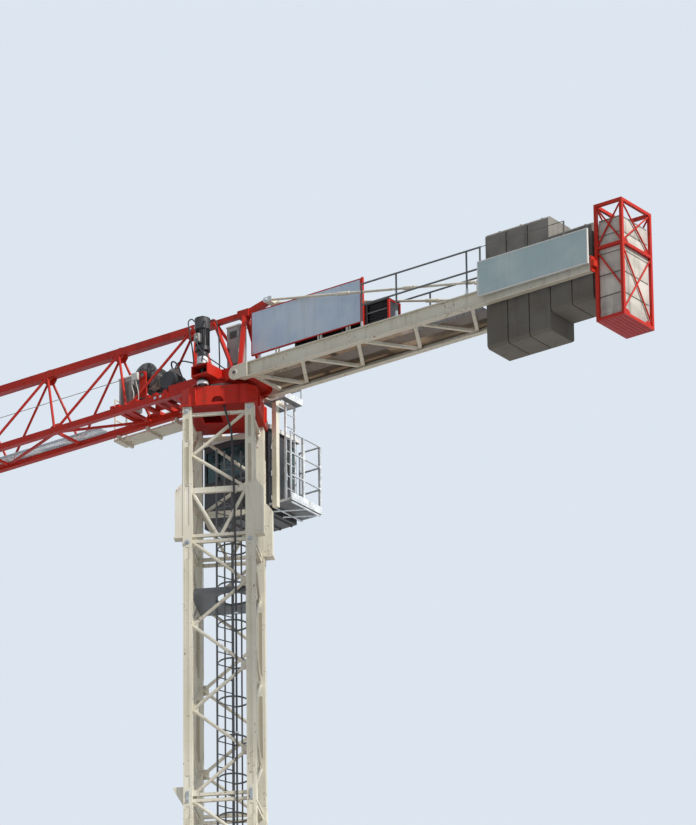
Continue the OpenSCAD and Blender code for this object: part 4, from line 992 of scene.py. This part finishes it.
def resistor_stack():
    """The braking resistors: a louvred black case between end frames, the outer one red."""
    (x0, y0, z0), (x1, y1, z1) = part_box("resistor_bank")
    core = slab((x0 + 0.05, y0 + 0.05, z0 + 0.03), (x1 - 0.05, y1 - 0.05, z1 - 0.05))
    roof = softened(slab((x0, y0, z1 - 0.035), (x1, y1, z1)), 0.006, 2)
    sill = softened(slab((x0, y0, z0), (x1, y1, z0 + 0.06)), 0.006)
    parts = [sunk(core, NEAR, 0.02, 0.01), sunk(roof, UP, 0.04, 0.006), sunk(sill, DOWN, 0.05, 0.03)]
    for x in (x0 + 0.62, x0 + 1.28, x0 + 1.94):
        for y in (y0, y1 - 0.04):
            parts.append(softened(slab((x - 0.03, y, z0 + 0.05), (x + 0.03, y + 0.04, z1 - 0.03)), 0.005))
    slat = shifted(slab((x0 + 0.05, 0, -0.011), (x1 - 0.05, 0.008, 0.011)), DOWN, (0, 0.02, 0))
    turned_round = spun(180) @ moved(-(x0 + x1), 0, 0)
    places = [moved(0, y1 - 0.036, z0 + 0.11 + 0.062 * i) for i in range(12)]
    places += [moved(0, y0 + 0.036, z0 + 0.11 + 0.062 * i) @ turned_round for i in range(12)]
    parts = [coated(part, BLACK) for part in parts + [repeated(slat, places)]]
    strip = coated(slab((x0 + 0.06, y1 - 0.01, -0.008), (x1 - 0.06, y1, 0.008)), GREY, 0.002)
    parts.append(repeated(strip, [moved(0, 0, z0 + z) for z in (0.36, 0.62)]))
    for x, paint in ((x0, RED), (x1 - 0.05, BLACK)):
        parts.append(coated(pierced(slab((x, y0, z0), (x + 0.05, y1, z1)), "x", 0.05), paint, 0.004))
        sheet = slab((x + 0.015, y0 + 0.04, z0 + 0.04), (x + 0.035, y1 - 0.04, z1 - 0.04))
        parts.append(coated(sunk(sheet, BACK, 0.03, 0.008), BLACK))
    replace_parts(fitted(parts, "resistor_stack", "upper"), "resistor_bank")


def sign_board(low, high, sheet, rim):
    """A bare board: a sheet, a rim of folded strip and rivets along it, with nothing written on it."""
    low, high, lap = over(*low), over(*high), Vector((0.008, 0.003, 0.008))
    face = coated(sunk(softened(slab(low, high), 0.003), lambda face: abs(face.normal.y) > 0.9, 0.03, 0.003),
        sheet)
    border = coated(pierced(slab(low - lap, high + lap), "y", 0.026), rim, 0.002)
    rivet = coated(raised(turned((0, 0, 0), 0.009, 0.012, "y", 10), NEAR, 0.003, 0.002), ZINC)
    count = int((high.x - low.x) / 0.24)
    step = (high.x - low.x - 0.1) / count
    rows = repeated(rivet, [moved(low.x + 0.05 + step * i, high.y, z) for i in range(count + 1)
        for z in (low.z + 0.05, high.z - 0.05)])
    return together([face, border, rows])


def bare_boards():
    upper = sign_board((-3.875, 0.06, 1.375), (-0.855, 0.102, 2.425), "panel_paint", RED)
    side = sign_board((-10.355, 0.684, 0.775), (-7.465, 0.727, 1.595), "side_panel_paint", PALE)
    end_post = sunk(softened(block((-3.93, 0.04, 0.96), (-3.88, 0.1, 2.46)), 0.006), NEAR, 0.012, 0.004)
    foot = coated(brace_bar((0, 0.08, 0.74), (0, 0.08, 1.38), 0.02), CREAM)
    feet = repeated(foot, [moved(x, 0, 0) for x in (-2.77, -2.69, -3.56, -3.49, -1.6, -1.52)])
    fitted([upper, side, coated(end_post, RED), feet], "bare_boards", "upper")


def handrail_sockets():
    """Sockets and clamp plates at the feet of the counterjib's posts."""
    cup = softened(raised(turned((0, 0, 0.06), 0.031, 0.12, sides=16), UP, 0.002, 0.004), 0.003)
    socket = together([cup, plate((-0.05, -0.045, 0), (0.05, 0.035, 0.012), "z", 0.015, 2)])
    places = [at(x, side * 0.64, 0.95) for x in (-4.29, -5.23, -7.12, -7.48, -9.7) for side in SIDES]
    fitted(repeated(coated(socket, ZINC), places), "handrail_sockets", "upper")


def tie_fittings():
    """Sleeves, lock nuts and end forks on the two tie bars."""
    sleeve = softened(sunk(turned((0, 0, 0), 0.044, 0.3, sides=20), UP, 0.01, -0.004), 0.006, 2)
    nut = sunk(turned((0, 0, 0.18), 0.05, 0.045, sides=6), UP, 0.008, -0.004)
    coupling = coated(together([sleeve, nut]), CREAM)
    fork = coated(raised(turned((0, 0, 0), 0.042, 0.2, sides=20), UP, 0.01, 0.05), CREAM, 0.004)
    couplings, forks = [], []
    for side in SIDES:
        start, end = over(-1.36, side * 0.1, 2.6), over(-7.32, side * 0.582, 1.21)
        length = (end - start).length
        couplings += [along(start, end) @ moved(0, 0, length * share) for share in (0.36, 0.68)]
        forks.append(along(start, end) @ moved(0, 0, length - 0.2))
    fitted([repeated(coupling, couplings), repeated(fork, forks)], "tie_fittings", "upper")


def ballast_loops():
    """Lifting loops cast into the ballast blocks, with the plates they come out of."""
    put_down()
    bpy.ops.mesh.primitive_torus_add(major_radius=0.07, minor_radius=0.011, major_segments=32,
        minor_segments=10, rotation=(0, math.pi / 2, 0))
    loop = fixed()
    pick(loop, lambda face: True)
    bpy.ops.mesh.bisect(plane_co=(0, 0, -0.01), plane_no=(0, 0, 1), clear_inner=True, use_fill=True)
    take(loop)
    bpy.ops.object.shade_smooth_by_angle(angle=math.radians(40))
    seat = coated(plate((-0.05, -0.11, -0.002), (0.05, 0.11, 0.008), "z", 0.02, 2), ZINC)
    pair = together([coated(loop, STEEL), seat])
    tops = (2.34, 2.34, 2.34, 1.87, 1.87)
    places = [at(-7.5 - 0.565 * i - 0.27, y, z) for i, z in enumerate(tops) for y in (-0.26, 0.26)]
    fitted(repeated(pair, places), "ballast_loops", "upper")


def end_cage():
    """Diagonals, corner plates and floor slats of the end cage, and the weights stacked in it."""
    x0, x1, y0, y1, rail, foot, top = -11.11, -10.45, -0.58, 0.5, 1.15, -0.44, 2.14
    spans = [((x, a, low), (x, b, high)) for x in (x0, x1) for low,
        high in ((rail + 0.03, top), (foot, rail - 0.05)) for a, b in ((y0, y1), (y1, y0))]
    spans += [((x0, y, a), (x1, y, b)) for y in (y0, y1) for a, b in ((rail + 0.03, top), (top, rail + 0.03))]
    spans += [((x0, y1, 0.1), (x1, y1, rail - 0.05)), ((x0, y0, rail - 0.05), (x1, y0, 0.1))]
    braces = [brace_bar(start, end, 0.02) for start, end in spans]
    corners = repeated(gusset(0.2, 0.1, 0.01, 0.05),
        [at(x, y + (0.13 if y < 0 else -0.13), z) @ spun(90) for x in (x0, x1) for z in (-0.495, 1.185)
        for y in (y0, y1)])
    slat = block((-11.07, y0, -0.573), (-11.02, y1, -0.558))
    corner_bevel(slat, lambda edge: all(v.co.z < PINS - 0.57 for v in edge.verts), 0.006)
    slats = repeated(slat, [moved(0.1 * i, 0, 0) for i in range(6)])
    fitted(coated(together(braces + [corners, slats]), RED), "cage_braces", "upper")
    weights = []
    for low, high, cut in ((-0.49, 0.0, 0.02), (0.02, 0.5, 0.02), (0.52, 1.0, 0.02), (1.02, 1.43, 0.02),
            (1.45, 1.822, 0.07)):
        weight = block((x0 + 0.036, y0 + 0.036, low), (x1 - 0.036, y1 - 0.036, high))
        weights.append(softened(corner_bevel(weight, above(high - 0.001), cut, 2), 0.01, 2))
    fitted(coated(together(weights), "pale_concrete"), "cage_weights", "upper")


# Cab

def cab_trim():
    """Gaskets, gutters, door furniture, wiper and the stiffening ribs of the cab."""
    (x0, y0, z0), (x1, y1, z1) = CAB
    rims = [((a - 0.025, y - 0.012, -0.735), (b + 0.025, y + 0.012, 0.075), "y") for a,
        b in ((0.3, 1.1), (1.16, 1.44)) for y in (y0, y1)]
    rims += [((x1 - 0.012, -2.245, -1.625), (x1 + 0.012, -1.305, 0.125), "x"),
        ((x0 - 0.012, -2.265, -0.925), (x0 + 0.012, -1.995, 0.075), "x")]
    parts = [coated(pierced(block(low, high), axis, 0.035), RUBBER, 0.004, 2) for low, high, axis in rims]
    door = softened(block((x0 - 0.01, -1.94, -1.71), (x0 + 0.006, -1.34, 0.05)), 0.004)
    parts.append(coated(sunk(door, BACK, 0.05, 0.006), BLACK))
    grip = pierced(block((x0 - 0.05, -1.9, -0.86), (x0 - 0.005, -1.87, -0.66)), "y", 0.012)
    parts.append(coated(grip, ZINC, 0.003, 2))
    hinge = raised(turned(over(x0 - 0.014, -1.335, -1.45), 0.014, 0.12, sides=12), UP, 0.004, 0.008)
    parts.append(repeated(coated(hinge, ZINC), [moved(0, 0, z) for z in (0, 0.6, 1.25)]))
    rib = plate(over(x0 + 0.1, y0 + 0.02, z0 - 0.03), over(x0 + 0.16, y1 - 0.02, z0 + 0.002), "y", 0.015,
        where=lambda p: p.z < PINS + z0 - 0.02)
    parts.append(repeated(coated(rib, BLACK), [moved(0.32 * i, 0, 0) for i in range(6)]))
    for y, way in ((y0, -1), (y1, 1)):
        inner, outer = sorted((y, y + way * 0.008))
        seam = sunk(block((x0, inner, -0.79), (x1, outer, -0.755)), facing(0, way, 0), 0.006, -0.003)
        inner, outer = sorted((y, y + way * 0.006))
        panel = softened(block((x0 + 0.7, inner, -1.66), (x1 - 0.12, outer, -0.88)), 0.002)
        parts += [coated(seam, BLACK), coated(sunk(panel, facing(0, way, 0), 0.025, 0.004), BLACK)]
    arm = brace_bar((x1 + 0.02, -1.75, -1.62), (x1 + 0.02, -1.62, -1.02), 0.008)
    blade = block((x1 + 0.012, -1.65, -1.32), (x1 + 0.026, -1.6, -0.74))
    roof = softened(block((x0 + 0.15, y0 + 0.15, z1 + 0.098), (x1 - 0.15, y1 - 0.15, z1 + 0.115)), 0.004)
    eave = block((x0 - 0.065, y0 - 0.065, z1 - 0.002), (x1 + 0.065, y1 + 0.035, z1 + 0.095))
    parts += [coated(arm, BLACK), coated(blade, RUBBER, 0.005), coated(sunk(roof, UP, 0.08, 0.006), BLACK),
        coated(pierced(eave, "z", 0.02), PALE, 0.004)]
    fitted(parts, "cab_trim", "upper")


def operator_seat():
    """The operator's seat shell, its two control stands and the floor mat, seen through the glass."""
    x0, y0, z0 = CAB[0]
    seat = block((0.25, -2.0, -1.22), (0.75, -1.55, -1.12))
    pick(seat, BACK)
    bpy.ops.mesh.inset(thickness=0.01)
    for step in ((-0.08, 0, 0.04), (-0.06, 0, 0.3)):
        bpy.ops.mesh.extrude_region_move(TRANSFORM_OT_translate={"value": step})
    bpy.ops.transform.resize(value=(1, 1, 0.4), center_override=over(0.1, -1.775, -0.8))
    back = block((0.1, -1.98, -1.1), (0.2, -1.57, -0.42))
    narrowed(back, UP, (0.6, 0.7, 1), center_override=over(0.1, -1.775, -0.42))
    shifted(back, UP, (-0.08, 0, 0))
    stem = raised(turned(over(0.5, -1.775, -1.47), 0.08, 0.52, sides=20), DOWN, 0.01, 0.01)
    parts = [softened(seat, 0.03, 3), softened(back, 0.035, 3), softened(stem, 0.006)]
    for y in (-2.12, -1.52):
        stand = narrowed(block((0.3, y, -1.7), (0.72, y + 0.09, -0.98)), UP, (0.85, 1.15, 1))
        lever = raised(turned(over(0.6, y + 0.045, -0.92), 0.012, 0.16, sides=12), UP, 0.002, 0.03)
        parts += [softened(sunk(stand, UP, 0.012, 0.008), 0.012, 2), softened(lever, 0.004)]
    parts.append(sunk(block((x0 + 0.07, y0 + 0.07, z0 + 0.05), (1.43, -1.32, z0 + 0.062)), UP, 0.03, 0.004))
    fitted(coated(together(parts), "moulded_plastic"), "operator_seat", "upper")


def platform_edges():
    """Toe boards, rail clamps, posts and bearers of the cab's platform and the landing above it."""
    parts = []
    for low, high in (((-0.93, -2.4, -1.6), (-0.924, -1.25, -1.48)),
            ((-0.93, -2.4, -1.6), (-0.3, -2.394, -1.48)), ((-0.93, -1.7, 0.79), (-0.924, -1.04, 0.9)),
            ((-0.93, -1.7, 0.79), (-0.3, -1.694, 0.9))):
        parts.append(softened(sunk(block(low, high), UP, 0.001, -0.004), 0.001))
    clamp = softened(sunk(turned((0, 0, 0), 0.03, 0.05, sides=12), UP, 0.006, -0.003), 0.003)
    spots = ((-0.9, -1.74), (-0.9, -2.37))
    parts.append(repeated(clamp, [at(x, y, z) for x, y in spots for z in (-1.05, -0.52)]))
    for start, end in (((-0.9, -1.3, -1.7), (-0.9, -2.36, -1.7)), ((-0.4, -1.3, -1.7), (-0.4, -2.36, -1.7)),
            ((-0.33, -1.34, -1.78), (-0.9, -1.85, -1.7)), ((-0.33, -1.75, -1.78), (-0.9, -2.3, -1.7))):
        parts.append(brace_bar(start, end, 0.02))
    post = softened(sunk(slab((-0.03, -0.03, -1.6), (0.03, 0.03, -0.02)), BACK, 0.012, 0.02), 0.003)
    parts.append(repeated(post, [at(x, y, 0) for x, y in spots]))
    fitted(coated(together(parts), BRIGHT), "platform_edges", "upper")


def hanger_plates():
    """Bolted flanges where the cab's necks meet the turntable's beam and the roof."""
    flange = plate((-0.08, -0.545, 0.8), (0.08, -0.528, 1.0), "y", 0.02, 2)
    bolts = repeated(hex_bolt(0.013, 0.016),
        [moved(dx, -0.545, z) @ spun(90, "x") for dx in (-0.062, 0.062) for z in (0.825, 0.975)])
    foot = plate((-0.08, -1.35, 0.3), (0.08, -1.2, 0.314), "z", 0.02, 2)
    pair = coated(together([softened(flange, 0.002), bolts, softened(foot, 0.002)]), CREAM)
    fitted(repeated(pair, [at(x, 0, 0) for x in (-0.21, 1.0)]), "hanger_plates", "upper")


# Trolley and hook

TROLLEY = LOW_NODE + BAY * 5


def grooved_sheave(radius, width):
    """A rope wheel on the Y axis with a groove round its rim and a hub."""
    wheel = turned((0, 0, 0), radius, width, "y", 40)
    pick(wheel, lambda face: abs(face.normal.y) < 0.1)
    bpy.ops.mesh.inset(thickness=width * 0.18, depth=0)
    bpy.ops.mesh.extrude_region_shrink_fatten(TRANSFORM_OT_shrink_fatten={"value": -radius * 0.14})
    put_down()
    return softened(raised(wheel, NEAR, radius * 0.2, -width * 0.2), 0.0015)


def trolley_sheaves():
    """Wheel hubs, rope sheaves and cheek plates of the trolley."""
    hub = raised(turned((0, 0.6, 0), 0.045, 0.02, "y", 20), NEAR, 0.012, 0.012, 0.008, 0.004)
    hubs = [place for dx in (-0.42, 0.42) for place in both_ways(at(TROLLEY + dx, 0, 0.9452))]
    cheek = plate((-0.29, 0.035, 0.34), (0.29, 0.047, 0.56), "y", 0.08, 3, lambda p: p.z < 0.4)
    cheeks = repeated(coated(cheek, RED, 0.002), [at(TROLLEY, y, 0) for y in (0, -0.082)])
    sheaves = repeated(coated(grooved_sheave(0.14, 0.05), STEEL),
        [at(TROLLEY + dx, 0, 0.43) for dx in (-0.12, 0.12)])
    fitted([repeated(coated(hub, STEEL, 0.002), hubs), sheaves, cheeks], "trolley_sheaves", "upper")


def hook_fittings():
    """Pins, bolts and the safety latch of the hook block."""
    x = TROLLEY
    boss = raised(turned((0, 0.072, 0), 0.05, 0.012, "y", 24), NEAR, 0.014, 0.014, 0.008, 0.004)
    bosses = [place for dx in (-0.12, 0.12) for place in both_ways(at(x + dx, 0, -0.45))]
    spots = ((-0.19, -0.33), (0.19, -0.33), (-0.08, -0.64), (0.08, -0.64))
    bolts = [at(x + dx, s * 0.0675, z) @ spun(-s * 90, "x") for dx, z in spots for s in SIDES]
    nut = sunk(turned(over(x, 0, -0.83), 0.05, 0.05, sides=6), UP, 0.01, -0.004)
    latch = plate(over(x + 0.03, -0.02, -0.98), over(x + 0.05, 0.02, -0.86), "x", 0.01, 2)
    stripe = plate(over(x - 0.2, 0.0675, -0.6), over(x + 0.2, 0.0705, -0.54), "y", 0.02, 2)
    fitted([repeated(coated(boss, ZINC, 0.002), bosses),
        repeated(coated(hex_bolt(0.014, 0.016), ZINC), bolts), coated(nut, STEEL, 0.003), coated(latch, ZINC),
        coated(stripe, CREAM)], "hook_fittings", "upper")


def floor():
    put_down()
    bpy.ops.mesh.primitive_cylinder_add(vertices=128, radius=24, depth=0.2, location=(0, 0, -0.102))
    disc = fixed()
    disc.name = "studio_floor"
    f = Finish("studio_floor")
    cloud = f.noise(0.2, 3)
    disc.data.materials.append(f.coat(f.blend(cloud * 0.3, (0.74, 0.75, 0.76), (0.7, 0.71, 0.72)),
        0.85 + cloud * 0.1))


def main():
    set_camera()
    set_light()
    put_down()
    make_finishes()
    dress_cad()
    floor()
    for make in (
        anchor_bolts, mast_gussets, leg_slots, joint_cheeks, landing_edges, cable_clamps, ring_bolts,
        ring_teeth, support_ribs, pin_keepers, drive_fittings, drum_rope, drum_hubs, hoist_motor_fittings,
        bearing_caps, cabinet_doors, winch_conduits, jib_gussets, chord_joints, root_plates, tie_heads,
        jib_walkway, counterjib_grating, resistor_stack, bare_boards, handrail_sockets, tie_fittings,
        ballast_loops, end_cage, cab_trim, operator_seat, platform_edges, hanger_plates, trolley_sheaves,
        hook_fittings,
    ):
        make()
    put_down()


main()
